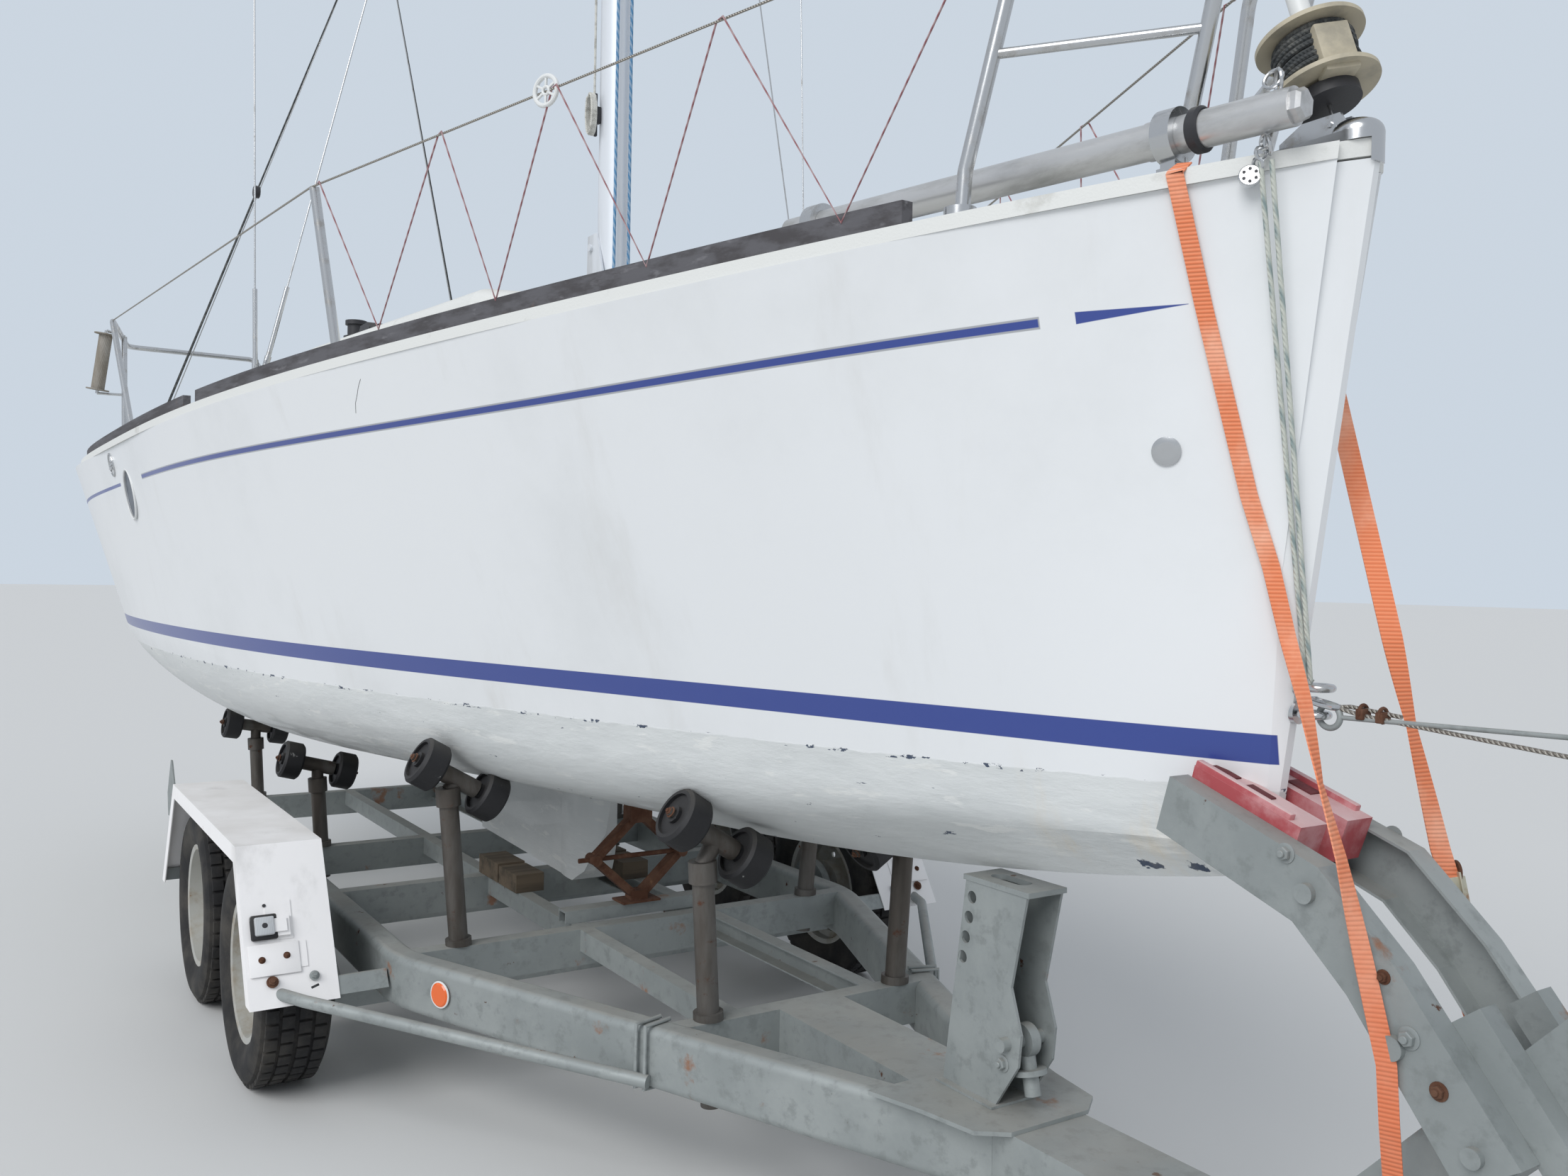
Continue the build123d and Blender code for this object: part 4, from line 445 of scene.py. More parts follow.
materials = {slot: finish(slot, **values) for slot, values in finishes.items()}
for slot, names in slotNodes.items():
    for name in names.split():
        nodes[name].data.materials.clear()
        nodes[name].data.materials.append(materials[slot])
print("materials done")


# Growth trees: each ends in Realize Instances and Set Material, and is turned into one plain mesh
def growthTree(name, inputs):
    tree = bpy.data.node_groups.new(name, "GeometryNodeTree")
    tree.interface.new_socket(name="Source", in_out="INPUT", socket_type="NodeSocketGeometry")
    for label, kind in inputs:
        tree.interface.new_socket(name=label, in_out="INPUT", socket_type="NodeSocket" + kind)
    tree.interface.new_socket(name="Grown", in_out="OUTPUT", socket_type="NodeSocketGeometry")
    return tree, tree.nodes.new("NodeGroupInput").outputs, tree.nodes.new("NodeGroupOutput").inputs


def grow(tree, kind, values=None, **settings):
    return newNode(tree, kind, values, **settings).outputs


def closeTree(tree, shape, given, out):
    whole = grow(tree, "GeometryNodeRealizeInstances", {"Geometry": shape})[0]
    whole = grow(tree, "GeometryNodeSetMaterial", {"Geometry": whole, "Material": given["Material"]})[0]
    tree.links.new(whole, out["Grown"])


# Ropes, wires and bent rods: a round profile along the source's edges
ropeTree, given, out = growthTree("rope", [("Radius", "Float"), ("Sides", "Int"), ("Material", "Material")])
line = grow(ropeTree, "GeometryNodeMeshToCurve", {"Mesh": given["Source"]})[0]
profile = grow(ropeTree, "GeometryNodeCurvePrimitiveCircle",
               {"Resolution": given["Sides"], "Radius": given["Radius"]})[0]
tube = grow(ropeTree, "GeometryNodeCurveToMesh",
            {"Curve": line, "Profile Curve": profile, "Fill Caps": True})[0]
closeTree(ropeTree, tube, given, out)

# The same small shape at every point of the source, stood along "run" and scaled by "size"
spreadTree, given, out = growthTree("spread", [("Shape", "Object"), ("Spin", "Float"), ("Seed", "Int"),
                                               ("Material", "Material")])
shape = grow(spreadTree, "GeometryNodeObjectInfo", {"Object": given["Shape"]})["Geometry"]
reads = {}
for label, kind in (("run", "FLOAT_VECTOR"), ("side", "FLOAT_VECTOR"), ("size", "FLOAT")):
    reads[label] = grow(spreadTree, "GeometryNodeInputNamedAttribute", {"Name": label}, data_type=kind)[0]
stand = grow(spreadTree, "FunctionNodeAlignRotationToVector", {"Vector": reads["run"]}, axis="Z")[0]
stand = grow(spreadTree, "FunctionNodeAlignRotationToVector", {"Rotation": stand, "Vector": reads["side"]},
             axis="X", pivot_axis="Z")[0]
angle = grow(spreadTree, "FunctionNodeRandomValue", {"Min": 0.0, "Max": given["Spin"], "Seed": given["Seed"]},
             data_type="FLOAT")["Value"]
spinBy = grow(spreadTree, "FunctionNodeAxisAngleToRotation", {"Axis": (0.0, 0.0, 1.0), "Angle": angle})[0]
stand = grow(spreadTree, "FunctionNodeRotateRotation", {"Rotation": stand, "Rotate By": spinBy},
             rotation_space="LOCAL")[0]
scattered = grow(spreadTree, "GeometryNodeInstanceOnPoints",
                 {"Points": given["Source"], "Instance": shape, "Rotation": stand, "Scale": reads["size"]})[0]
closeTree(spreadTree, scattered, given, out)


def grown(tree, source, values):
    holder = bpy.data.objects.new("holder", source)
    bpy.context.scene.collection.objects.link(holder)
    modifier = holder.modifiers.new("grow", "NODES")
    modifier.node_group = tree
    for item in tree.interface.items_tree:
        if item.in_out == "INPUT" and item.name in values:
            modifier[item.identifier] = values[item.name]
    bpy.context.view_layer.update()
    mesh = bpy.data.meshes.new_from_object(holder.evaluated_get(bpy.context.evaluated_depsgraph_get()))
    holder.modifiers.remove(modifier)
    bpy.data.objects.remove(holder)
    return mesh


sharpAngle = math.radians(34.0)


# A plain mesh from mesh code, with its faces turned outwards
def asMesh(name, made):
    bmesh.ops.recalc_face_normals(made, faces=made.faces)
    mesh = bpy.data.meshes.new(name)
    made.to_mesh(mesh)
    made.free()
    return mesh


# The finished piece: it rides on its body
def show(name, made, finishName, body="outfit"):
    if isinstance(made, bmesh.types.BMesh):
        mesh = asMesh(name, made)
        mesh.materials.append(materials[finishName])
    else:
        mesh = made
    mesh.polygons.foreach_set("use_smooth", [True] * len(mesh.polygons))
    mesh.set_sharp_from_angle(angle=sharpAngle)
    piece = bpy.data.objects.new(name, mesh)
    bpy.context.scene.collection.objects.link(piece)
    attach(piece, body)
    return piece


# Ropes, wires or rods of one kind, one along each path
def ropes(name, paths, radius, finishName, body="outfit", sides=10):
    spots, edges = [], []
    for path in paths:
        start = len(spots)
        spots += [tuple(point) for point in path]
        edges += [(index, index + 1) for index in range(start, len(spots) - 1)]
    source = bpy.data.meshes.new(name)
    source.from_pydata(spots, edges, [])
    mesh = grown(ropeTree, source, {"Radius": radius, "Sides": sides, "Material": materials[finishName]})
    return show(name, mesh, finishName, body)


# One small shape on every row, which is a place, the way up, the way sideways and a size
def spread(name, shapeMesh, rows, finishName, body="outfit", spin=2.0 * math.pi, seed=7):
    source = bpy.data.meshes.new(name)
    source.from_pydata([tuple(row[0]) for row in rows], [], [])
    columns = (("run", "FLOAT_VECTOR"), ("side", "FLOAT_VECTOR"), ("size", "FLOAT"))
    for column, (label, kind) in enumerate(columns, 1):
        layer = source.attributes.new(label, kind, "POINT")
        for index, row in enumerate(rows):
            if kind == "FLOAT":
                layer.data[index].value = row[column]
            else:
                layer.data[index].vector = row[column]
    shapeObject = bpy.data.objects.new(name + "Shape", shapeMesh)
    mesh = grown(spreadTree, source, {"Shape": shapeObject, "Spin": spin, "Seed": seed,
                                      "Material": materials[finishName]})
    bpy.data.objects.remove(shapeObject)
    return show(name, mesh, finishName, body)


# Axes with z along run and x as near to side as it can be
def facingAxes(run, side):
    run = Vector(run).normalized()
    side = Vector(side)
    side = (side - run * side.dot(run)).normalized()
    return Matrix((side, run.cross(side), run)).transposed()


# The same, where only run matters
def standOn(run):
    isUpright = abs(Vector(run).normalized().z) >= 0.9
    return facingAxes(run, (1.0, 0.0, 0.0) if isUpright else (0.31, 0.11, 0.94))


# Directions of evenly set spokes, square to run
def spokes(run, side, count):
    stand = facingAxes(run, side)
    angles = [2.0 * math.pi * index / count for index in range(count)]
    return [stand @ Vector((math.cos(angle), math.sin(angle), 0.0)) for angle in angles]


# A turned shape; the profile is (radius, distance along run)
def turned(bm, place, run, profile, sides=24):
    stand = standOn(run)
    rings = []
    for radius, along in profile:
        ring = []
        for index in range(sides if radius > 0 else 1):
            angle = 2.0 * math.pi * index / sides
            spot = Vector((radius * math.cos(angle), radius * math.sin(angle), along))
            ring.append(bm.verts.new(Vector(place) + stand @ spot))
        rings.append(ring)
    for low, high in zip(rings, rings[1:]):
        for index in range(sides):
            after = (index + 1) % sides
            corners = [low[index % len(low)], low[after % len(low)], high[after % len(high)],
                       high[index % len(high)]]
            unique = list(dict.fromkeys(corners))
            if len(unique) > 2:
                bm.faces.new(unique)
    for ring in (rings[0], rings[-1]):
        if len(ring) > 2:
            bm.faces.new(ring)


# A ring of small section lying square to run
def hoop(bm, place, run, radius, section, sides=36, sectionSides=10):
    stand = standOn(run)
    rings = []
    for index in range(sides):
        angle = 2.0 * math.pi * index / sides
        out = stand @ Vector((math.cos(angle), math.sin(angle), 0.0))
        along = stand @ Vector((0.0, 0.0, 1.0))
        middle = Vector(place) + out * radius
        turns = [2.0 * math.pi * step / sectionSides for step in range(sectionSides)]
        rings.append([bm.verts.new(middle + (out * math.cos(turn) + along * math.sin(turn)) * section)
                      for turn in turns])
    for index, ring in enumerate(rings):
        after = rings[(index + 1) % sides]
        for step in range(sectionSides):
            other = (step + 1) % sectionSides
            bm.faces.new((ring[step], ring[other], after[other], after[step]))


# A box with eased edges: size is along side, across, and along run
def block(bm, place, size, run=(0.0, 0.0, 1.0), side=(1.0, 0.0, 0.0), ease=0.0015):
    made = bmesh.ops.create_cube(bm, size=1.0)["verts"]
    grid = Matrix.Translation(place) @ facingAxes(run, side).to_4x4() @ Matrix.Diagonal((*size, 1.0))
    bmesh.ops.transform(bm, matrix=grid, verts=made)
    edges = list({edge for vert in made for edge in vert.link_edges})
    bmesh.ops.bevel(bm, geom=edges, offset=ease, segments=2, affect="EDGES", profile=0.5)


# Flat webbing along points; each row is (point, sideways direction)
def webbing(bm, rows, width, thick, steps=14):
    spots, sides = [], []
    for (point, side), (nextPoint, nextSide) in zip(rows, rows[1:]):
        for step in range(steps):
            share = step / steps
            spots.append(Vector(point).lerp(Vector(nextPoint), share))
            sides.append(Vector(side).lerp(Vector(nextSide), share))
    spots.append(Vector(rows[-1][0]))
    sides.append(Vector(rows[-1][1]))
    rings = []
    for index, spot in enumerate(spots):
        ahead = spots[min(index + 1, len(spots) - 1)] - spots[max(index - 1, 0)]
        side = (sides[index] - ahead * sides[index].dot(ahead) / ahead.length_squared).normalized()
        up = side.cross(ahead).normalized()
        rings.append([bm.verts.new(spot + side * width * across / 2 + up * thick * over / 2)
                      for across, over in ((-1, -1), (1, -1), (1, 1), (-1, 1))])
    for low, high in zip(rings, rings[1:]):
        for index in range(4):
            after = (index + 1) % 4
            bm.faces.new((low[index], low[after], high[after], high[index]))
    bm.faces.new(rings[0])
    bm.faces.new(rings[-1])


# Where a straight line first meets a CAD node, with the surface's direction there
def meets(node, start, run):
    bpy.context.view_layer.update()
    there = nodes[node].matrix_world
    back = there.inverted()
    localRun = (back.to_3x3() @ Vector(run)).normalized()
    found, place, normal, _ = nodes[node].ray_cast(back @ Vector(start), localRun)
    if not found:
        raise ValueError("no surface of " + node + " on that line")
    return there @ place, (there.to_3x3() @ normal).normalized()


# The same points on the boat's other side
def mirrored(points):
    return [(point[0], -point[1], point[2]) for point in points]


# Finishes of the loose gear; the record has no slots for them
strapWeave = (0.0, 0.0, 170.0)
wireLay = (150.0, 20.0, 150.0)
ropeLay = (120.0, 90.0, 160.0)
extraFinishes = {
    "worn_webbing": {
        "base": (0.235, 0.205, 0.165), "roughness": 0.9,
        "layers": [patch(14.0, 0.42, 0.66, (0.36, 0.335, 0.30), Stretch=(1.0, 1.0, 0.3))],
        "bumps": [ribbed((120.0, 120.0, 30.0), strength=0.5)]},
    "port_glass": {
        "base": (0.085, 0.100, 0.125), "roughness": 0.42,
        "layers": [patch(12.0, 0.45, 0.7, (0.150, 0.170, 0.200), rough=0.5)]},
    "post_steel": {
        "base": (0.090, 0.078, 0.067), "roughness": 0.5, "metallic": 0.55,
        "layers": [patch(9.0, 0.42, 0.66, (0.165, 0.157, 0.146), Stretch=alongPost, rough=0.6),
                   patch(16.0, 0.60, 0.68, rustDark, rough=0.9, metal=0.0, Shift=5.0)],
        "bumps": [grained(90.0, 0.3)]},
    # The red pad's colour made darker: painted shade in the pads' pockets
    "red_pad_in_shade": {
        "base": (0.120, 0.022, 0.026), "roughness": 0.8,
        "layers": [patch(20.0, 0.5, 0.7, (0.21, 0.05, 0.055))]},
    "orange_webbing": {
        "base": (0.88, 0.290, 0.140), "roughness": 0.75,
        "layers": [ribbed(strapWeave, colour=(0.66, 0.145, 0.045), amount=0.7),
                   patch(5.0, 0.45, 0.7, (0.95, 0.52, 0.36), amount=0.8),
                   # Darker towards the bottom, below z 0.95 with a broad soft edge: painted shade on the
                   # strap's lower run under the bow
                   boxed((-far, -far, -1.0), (far, far, 0.95), 0.3, colour=(0.62, 0.16, 0.07), amount=0.6)],
        "bumps": [ribbed(strapWeave, strength=0.5)]},
    "fleck_rope": {
        "base": (0.56, 0.58, 0.52), "roughness": 0.85,
        "layers": [ribbed((70.0, 40.0, 30.0), colour=(0.13, 0.22, 0.24), amount=0.75,
                          inside=ribbed((-80.0, 60.0, 21.0)))],
        "bumps": [ribbed((160.0, 90.0, 120.0), strength=0.5)]},
    "red_fleck_cord": {
        "base": (0.30, 0.12, 0.13), "roughness": 0.85,
        "layers": [ribbed((18.0, 9.0, 40.0), colour=(0.52, 0.42, 0.42), amount=0.6)]},
    "blue_fleck_rope": {
        "base": (0.06, 0.22, 0.42), "roughness": 0.85,
        "layers": [ribbed((50.0, 70.0, 34.0), colour=(0.62, 0.66, 0.68), amount=0.45)],
        "bumps": [ribbed((90.0, 60.0, 110.0), strength=0.4)]},
    "dark_rope": {
        "base": (0.055, 0.060, 0.062), "roughness": 0.9,
        "layers": [patch(60.0, 0.45, 0.65, (0.15, 0.15, 0.14))],
        "bumps": [ribbed(ropeLay, strength=0.6)]},
    "white_rope": {
        "base": (0.66, 0.65, 0.60), "roughness": 0.85,
        "layers": [patch(50.0, 0.45, 0.65, (0.42, 0.41, 0.37))],
        "bumps": [ribbed(ropeLay, strength=0.5)]},
    "wire_rope": {
        "base": (0.44, 0.42, 0.38), "roughness": 0.5, "metallic": 0.7,
        "layers": [ribbed(wireLay, colour=(0.20, 0.18, 0.155), amount=0.8)],
        "bumps": [ribbed(wireLay, strength=0.8)]},
    "zinc_plate": {
        "base": (0.52, 0.50, 0.40), "roughness": 0.45, "metallic": 0.6,
        "layers": [patch(40.0, 0.5, 0.65, rustLight, rough=0.9, metal=0.0)]},
    "amber_lens": {
        "base": (0.86, 0.15, 0.02), "roughness": 0.22, "coat": 0.5,
        "layers": [ribbed((220.0, 0.0, 220.0), colour=(0.70, 0.10, 0.015), amount=0.35)]},
    "clear_lens": {
        "base": (0.56, 0.58, 0.60), "roughness": 0.25, "coat": 0.4,
        "layers": [ribbed((0.0, 260.0, 0.0), colour=(0.36, 0.38, 0.40), amount=0.5),
                   patch(40.0, 0.5, 0.7, (0.40, 0.38, 0.33), amount=0.5)]}}
materials.update({name: finish(name, **values) for name, values in extraFinishes.items()})
for name, finishName in (("roller_posts", "post_steel"), ("webbing_reel", "worn_webbing")):
    nodes[name].data.materials.clear()
    nodes[name].data.materials.append(materials[finishName])

# A hexagon head on its washer, with the thread's end; it is spread wherever a bolt is
up = (0.0, 0.0, 1.0)
fore = (1.0, 0.0, 0.0)
washer = [(1.45, -0.05), (1.45, 0.16), (1.35, 0.2)]
head = [(1.0, 0.2), (1.0, 0.85), (0.88, 1.0)]
thread = [(0.52, 0.9), (0.52, 1.35), (0.44, 1.45)]
stud = bmesh.new()
for profile, sides in ((washer, 20), (head, 6), (thread, 14)):
    turned(stud, (0.0, 0.0, 0.0), up, profile, sides)
studMesh = asMesh("stud", stud)
print("tools done")

# Hold-down straps over the bow: each row is a place and the way that the webbing faces sideways
straps = {"width": 0.025, "portWidth": 0.030, "tailWidth": 0.024, "thick": 0.0022}
starboardRun = [((2.440, -0.168, 2.008), (0.95, 0.3, 0.0)), ((2.440, -0.190, 1.990), (0.85, 0.5, 0.0)),
                ((2.456, -0.140, 1.802), (0.8, 0.6, 0.1)), ((2.476, -0.103, 1.646), (0.75, 0.65, 0.1)),
                ((2.494, -0.076, 1.521), (0.7, 0.7, 0.1)), ((2.517, -0.052, 1.416), (0.7, 0.7, 0.1)),
                ((2.545, -0.048, 1.312), (0.5, 0.85, 0.1)), ((2.600, -0.085, 1.228), (0.1, 0.95, 0.1)),
                ((2.660, -0.134, 1.127), (-0.42, 0.88, 0.05)), ((2.698, -0.140, 1.030), (-0.1, 0.95, 0.1)),
                ((2.734, -0.142, 0.906), (0.5, 0.8, 0.2)), ((2.768, -0.140, 0.778), (0.85, 0.5, 0.25)),
                ((2.772, -0.137, 0.700), (0.9, 0.4, 0.2)), ((2.768, -0.110, 0.560), (0.95, 0.2, 0.1)),
                ((2.768, -0.095, 0.440), (1.0, 0.0, 0.0))]
portRun = [((2.360, 0.175, 2.030), (0.95, -0.3, 0.0)), ((2.360, 0.216, 1.985), (0.85, 0.3, 0.1)),
           ((2.615, 0.100, 1.315), (0.55, 0.75, 0.2)), ((2.635, 0.122, 1.185), (-0.15, 0.95, 0.1)),
           ((2.666, 0.150, 1.009), (0.45, 0.85, 0.1)), ((2.682, 0.160, 0.945), (0.5, 0.85, 0.1)),
           ((2.693, 0.160, 0.912), (0.5, 0.85, 0.1)), ((2.735, 0.152, 0.800), (0.5, 0.8, 0.1)),
           ((2.771, 0.142, 0.708), (0.2, 0.9, 0.1)), ((2.790, 0.115, 0.540), (0.8, 0.4, 0.1)),
           ((2.790, 0.098, 0.440), (1.0, 0.0, 0.0))]
tailRun = [((2.668, 0.146, 0.945), (0.5, 0.8, 0.1)), ((2.690, 0.146, 0.860), (0.5, 0.8, 0.1)),
           ((2.722, 0.148, 0.770), (0.4, 0.85, 0.1))]
made = bmesh.new()
for rows, width in ((starboardRun, "width"), (portRun, "portWidth"), (tailRun, "tailWidth")):
    webbing(made, rows, straps[width], straps["thick"])
show("bow_straps", made, "orange_webbing")

# The port strap's ratchet: cheeks beside a drum with two toothed discs
ratchet = {"run": (0.55, 0.83, 0.0), "up": (-0.2, -0.05, 1.0), "place": (2.686, 0.166, 0.946),
           "plate": (0.027, 0.005, 0.044), "middle": (2.676, 0.158, 0.940), "cheek": (0.003, 0.026, 0.070),
           "cheekReach": 0.017, "drum": (2.664, 0.160, 0.972), "discReaches": (-0.024, 0.020),
           "disc": [(0.008, -0.003), (0.0175, -0.002), (0.0175, 0.002), (0.008, 0.003)],
           "shaftStart": 0.030, "shaft": [(0.007, 0.0), (0.007, 0.056)]}
ratchetRun = Vector(ratchet["run"])
drumPlace = Vector(ratchet["drum"])
made = bmesh.new()
block(made, ratchet["place"], ratchet["plate"], ratchet["up"], ratchetRun, 0.0012)
for way in (-1, 1):
    middle = Vector(ratchet["middle"]) + ratchetRun * ratchet["cheekReach"] * way
    block(made, middle, ratchet["cheek"], ratchet["up"], ratchetRun, 0.001)
show("ratchet_plates", made, "zinc_plate")
made = bmesh.new()
for reach in ratchet["discReaches"]:
    turned(made, drumPlace + ratchetRun * reach, ratchetRun, ratchet["disc"], 20)
turned(made, drumPlace - ratchetRun * ratchet["shaftStart"], ratchetRun, ratchet["shaft"], 14)
show("ratchet_drum", made, "rusty_steel")
print("straps done")

# Bobstay ropes from the sprit's tip to the upper bow eye
bobstay = {"tip": (2.552, -0.130, 1.990), "eye": (2.548, -0.003, 1.252), "radius": 0.0037,
           "apart": (0.0055, 0.0022, 0.0), "topSpread": 1.3, "footSpread": 0.6,
           "bight": ((-0.006, -0.002, 0.0), (0.0, 0.0, -0.014), (0.006, 0.002, 0.0))}
tipPlace = Vector(bobstay["tip"])
eyePlace = Vector(bobstay["eye"])
bobPaths = []
for way in (-1, 1):
    shift = Vector(bobstay["apart"]) * way
    bobPaths.append([tipPlace + shift * bobstay["topSpread"], tipPlace.lerp(eyePlace, 0.5) + shift,
                     eyePlace + shift * bobstay["footSpread"]])
bobPaths.append([eyePlace + Vector(step) for step in bobstay["bight"]])
ropes("bobstay_ropes", bobPaths, bobstay["radius"], "fleck_rope")

# The sheave block at the sprit's tip with its ring of holes, and shackles: centre, direction, radius
sheave = {"place": (2.530, -0.136, 1.972), "run": (0.60, -0.78, 0.15), "half": 0.005,
          "profile": [(0.0144, 0.0), (0.016, 0.0015), (0.016, 0.0085), (0.0144, 0.010)],
          "holes": 6, "holeCircle": 0.0095, "holeProfile": [(0.0026, 0.0), (0.0026, 0.0010)],
          "holeReach": 0.0045}
shackles = [((2.548, -0.128, 2.018), (0.3, 0.9, 0.1), 0.010),
            ((2.543, -0.130, 2.002), (0.9, -0.2, 0.1), 0.009),
            ((2.540, -0.132, 1.987), (0.2, 0.9, 0.3), 0.009),
            ((2.568, -0.128, 2.098), (0.6, 0.7, 0.1), 0.016),
            ((2.558, -0.126, 2.104), (0.1, -0.9, 0.3), 0.014),
            ((2.556, -0.130, 2.010), (0.7, 0.6, 0.2), 0.012)]
shackleWire = 0.0028
sheavePlace = Vector(sheave["place"])
sheaveRun = Vector(sheave["run"]).normalized()
made = bmesh.new()
turned(made, sheavePlace - sheaveRun * sheave["half"], sheaveRun, sheave["profile"], 24)
for centre, run, radius in shackles:
    hoop(made, centre, run, radius, shackleWire, 20, 8)
show("sprit_shackles", made, "stainless")
# Thin dark discs laid where the sheave's holes are: painted shade of the openings
made = bmesh.new()
for spoke in spokes(sheaveRun, up, sheave["holes"]):
    start = sheavePlace + spoke * sheave["holeCircle"] + sheaveRun * sheave["holeReach"]
    turned(made, start, sheaveRun, sheave["holeProfile"], 10)
show("sheave_holes", made, "dark_plastic")

# The sprit's end cap, its collar and the bush in the front clamp
sprit = {"tip": (2.580, -0.126, 2.056), "heel": (1.540, -0.270, 2.082), "capReach": 0.012,
         "cap": [(0.0250, 0.0), (0.0250, 0.012), (0.0200, 0.018)], "capSides": 6,
         "collarPlace": (2.364, -0.156, 2.0614), "collar": [(0.0292, 0.0), (0.0292, 0.026), (0.0278, 0.027)],
         "bushPlace": (2.438, -0.1457, 2.0596),
         "bush": [(0.0300, 0.0), (0.0340, 0.004), (0.0340, 0.016), (0.0300, 0.020)]}
spritTip = Vector(sprit["tip"])
spritRun = (spritTip - Vector(sprit["heel"])).normalized()
made = bmesh.new()
turned(made, spritTip + spritRun * sprit["capReach"], spritRun, sprit["cap"], sprit["capSides"])
turned(made, sprit["collarPlace"], spritRun, sprit["collar"], 32)
show("sprit_cap_and_collar", made, "bright_tube")
made = bmesh.new()
turned(made, sprit["bushPlace"], spritRun, sprit["bush"], 32)
show("sprit_bush", made, "dark_plastic")

# Furler: windings between the discs, some a little tighter, the guard block and the foil's collar
furler = {"run": (-0.3180, 0.0, 0.9481), "foot": (2.573, 0.0, 2.058), "guardUp": 0.106,
          "guardOut": (0.044, -0.026, 0.0), "guard": (0.052, 0.030, 0.078), "guardSide": (0.544, 0.839, 0.0),
          "collarUp": 0.158, "collar": [(0.034, 0.0), (0.034, 0.020), (0.027, 0.024)]}
winding = {"from": 0.070, "turns": 8, "pitch": 0.0092, "radius": 0.056, "tight": 0.053,
           "tightTurns": (0, 3, 7), "cord": 0.0046, "steps": 28}
stayRun = Vector(furler["run"])
stayFoot = Vector(furler["foot"])
across = facingAxes(stayRun, (0.0, 1.0, 0.0))
coil = []
for index in range(winding["turns"] * winding["steps"]):
    turns = index / winding["steps"]
    angle = 2.0 * math.pi * turns
    wide = winding["tight"] if int(turns) in winding["tightTurns"] else winding["radius"]
    along = winding["from"] + turns * winding["pitch"]
    coil.append(stayFoot + across @ Vector((wide * math.cos(angle), wide * math.sin(angle), along)))
ropes("furler_windings", [coil], winding["cord"], "dark_rope", "furler", 8)
made = bmesh.new()
block(made, stayFoot + stayRun * furler["guardUp"] + Vector(furler["guardOut"]), furler["guard"], stayRun,
      furler["guardSide"], 0.003)
turned(made, stayFoot + stayRun * furler["collarUp"], stayRun, furler["collar"], 28)
show("furler_guard", made, "beige_plastic", "furler")
print("bow gear done")

# Lifelines, and the netting cord that zigzags between them and the toe rail
lifeline = {"radius": 0.0026,
            "spots": [(-2.76, -1.095, 2.480), (0.31, -0.930, 2.356), (2.215, -0.270, 2.470)]}
ropes("lifelines", [lifeline["spots"], mirrored(lifeline["spots"])], lifeline["radius"], "wire_rope")
net = {"start": (0.31, -0.932, 2.357), "inward": 0.3465, "rise": 0.0598, "half": 0.012, "step": 0.002,
       "radius": 0.0021, "tops": (0.344, 0.809, 1.173, 1.606, 2.149),
       "feet": [(0.632, -0.843, 1.958), (1.078, -0.719, 1.966), (1.513, -0.581, 1.974),
                (1.933, -0.426, 1.990)]}
startX, startY, startZ = net["start"]
netting = []
for index, x in enumerate(net["tops"]):
    y = startY + (x - startX) * net["inward"]
    z = startZ + (x - startX) * net["rise"]
    netting += [(x - net["half"], y, z), (x + net["half"], y, z + net["step"])]
    netting += net["feet"][index:index + 1]
ropes("netting_cords", [netting, mirrored(netting)], net["radius"], "red_fleck_cord", sides=8)

# The spoked roller on the starboard lifeline
roller = {"place": (1.150, -0.642, 2.406), "run": (0.42, -0.90, 0.0), "radius": 0.031, "section": 0.0052,
          "hub": 0.0085, "hubSection": 0.0035, "spokes": 6, "spoke": (0.024, 0.005, 0.005),
          "spokeOut": 0.0195}
rollerRun = Vector(roller["run"]).normalized()
rollerPlace = Vector(roller["place"])
made = bmesh.new()
hoop(made, rollerPlace, rollerRun, roller["radius"], roller["section"], 32, 10)
hoop(made, rollerPlace, rollerRun, roller["hub"], roller["hubSection"], 20, 8)
for spoke in spokes(rollerRun, up, roller["spokes"]):
    block(made, rollerPlace + spoke * roller["spokeOut"], roller["spoke"], rollerRun, spoke, 0.0008)
show("lifeline_roller", made, "white_foil")

# Halyards in front of the mast, and a halyard's tail coiled on the cleat at its starboard side
halyards = {"radius": 0.0048,
            "starboard": [(0.184, -0.012, 9.05), (0.186, -0.020, 5.0), (0.187, -0.026, 2.30),
                          (0.175, -0.052, 2.215)],
            "port": [(0.184, 0.012, 9.05), (0.187, 0.022, 2.30), (0.175, 0.052, 2.215)]}
ropes("blue_halyards", [halyards["starboard"], halyards["port"]], halyards["radius"], "blue_fleck_rope")
cleat = {"x": 0.110, "mastFace": -0.0445, "z": 2.780, "base": (0.018, 0.014, 0.050), "baseOut": 0.006,
         "horns": (0.012, 0.010, 0.130), "hornsOut": 0.014, "top": 8.90, "foot": 2.842, "topOut": 0.012,
         "footOut": 0.018}
tail = {"radius": 0.0036, "turns": 5, "steps": 12, "wide": 0.020, "high": 0.062, "out": 0.020,
        "pitch": 0.0035}
mastFace = cleat["mastFace"]
tailPath = []
for index in range(tail["turns"] * tail["steps"]):
    turns = index / tail["steps"]
    angle = 2.0 * math.pi * turns
    tailPath.append((cleat["x"] + tail["wide"] * math.sin(angle),
                     mastFace - tail["out"] - tail["pitch"] * turns,
                     cleat["z"] + tail["high"] * math.cos(angle)))
downPath = [(cleat["x"], mastFace - cleat["topOut"], cleat["top"]),
            (cleat["x"], mastFace - cleat["footOut"], cleat["foot"])]
ropes("cleat_coil", [tailPath, downPath], tail["radius"], "white_rope")
made = bmesh.new()
for part, ease in (("base", 0.002), ("horns", 0.003)):
    block(made, (cleat["x"], mastFace - cleat[part + "Out"], cleat["z"]), cleat[part], up, fore, ease)
show("mast_cleat", made, "dark_plastic")
print("lines done")

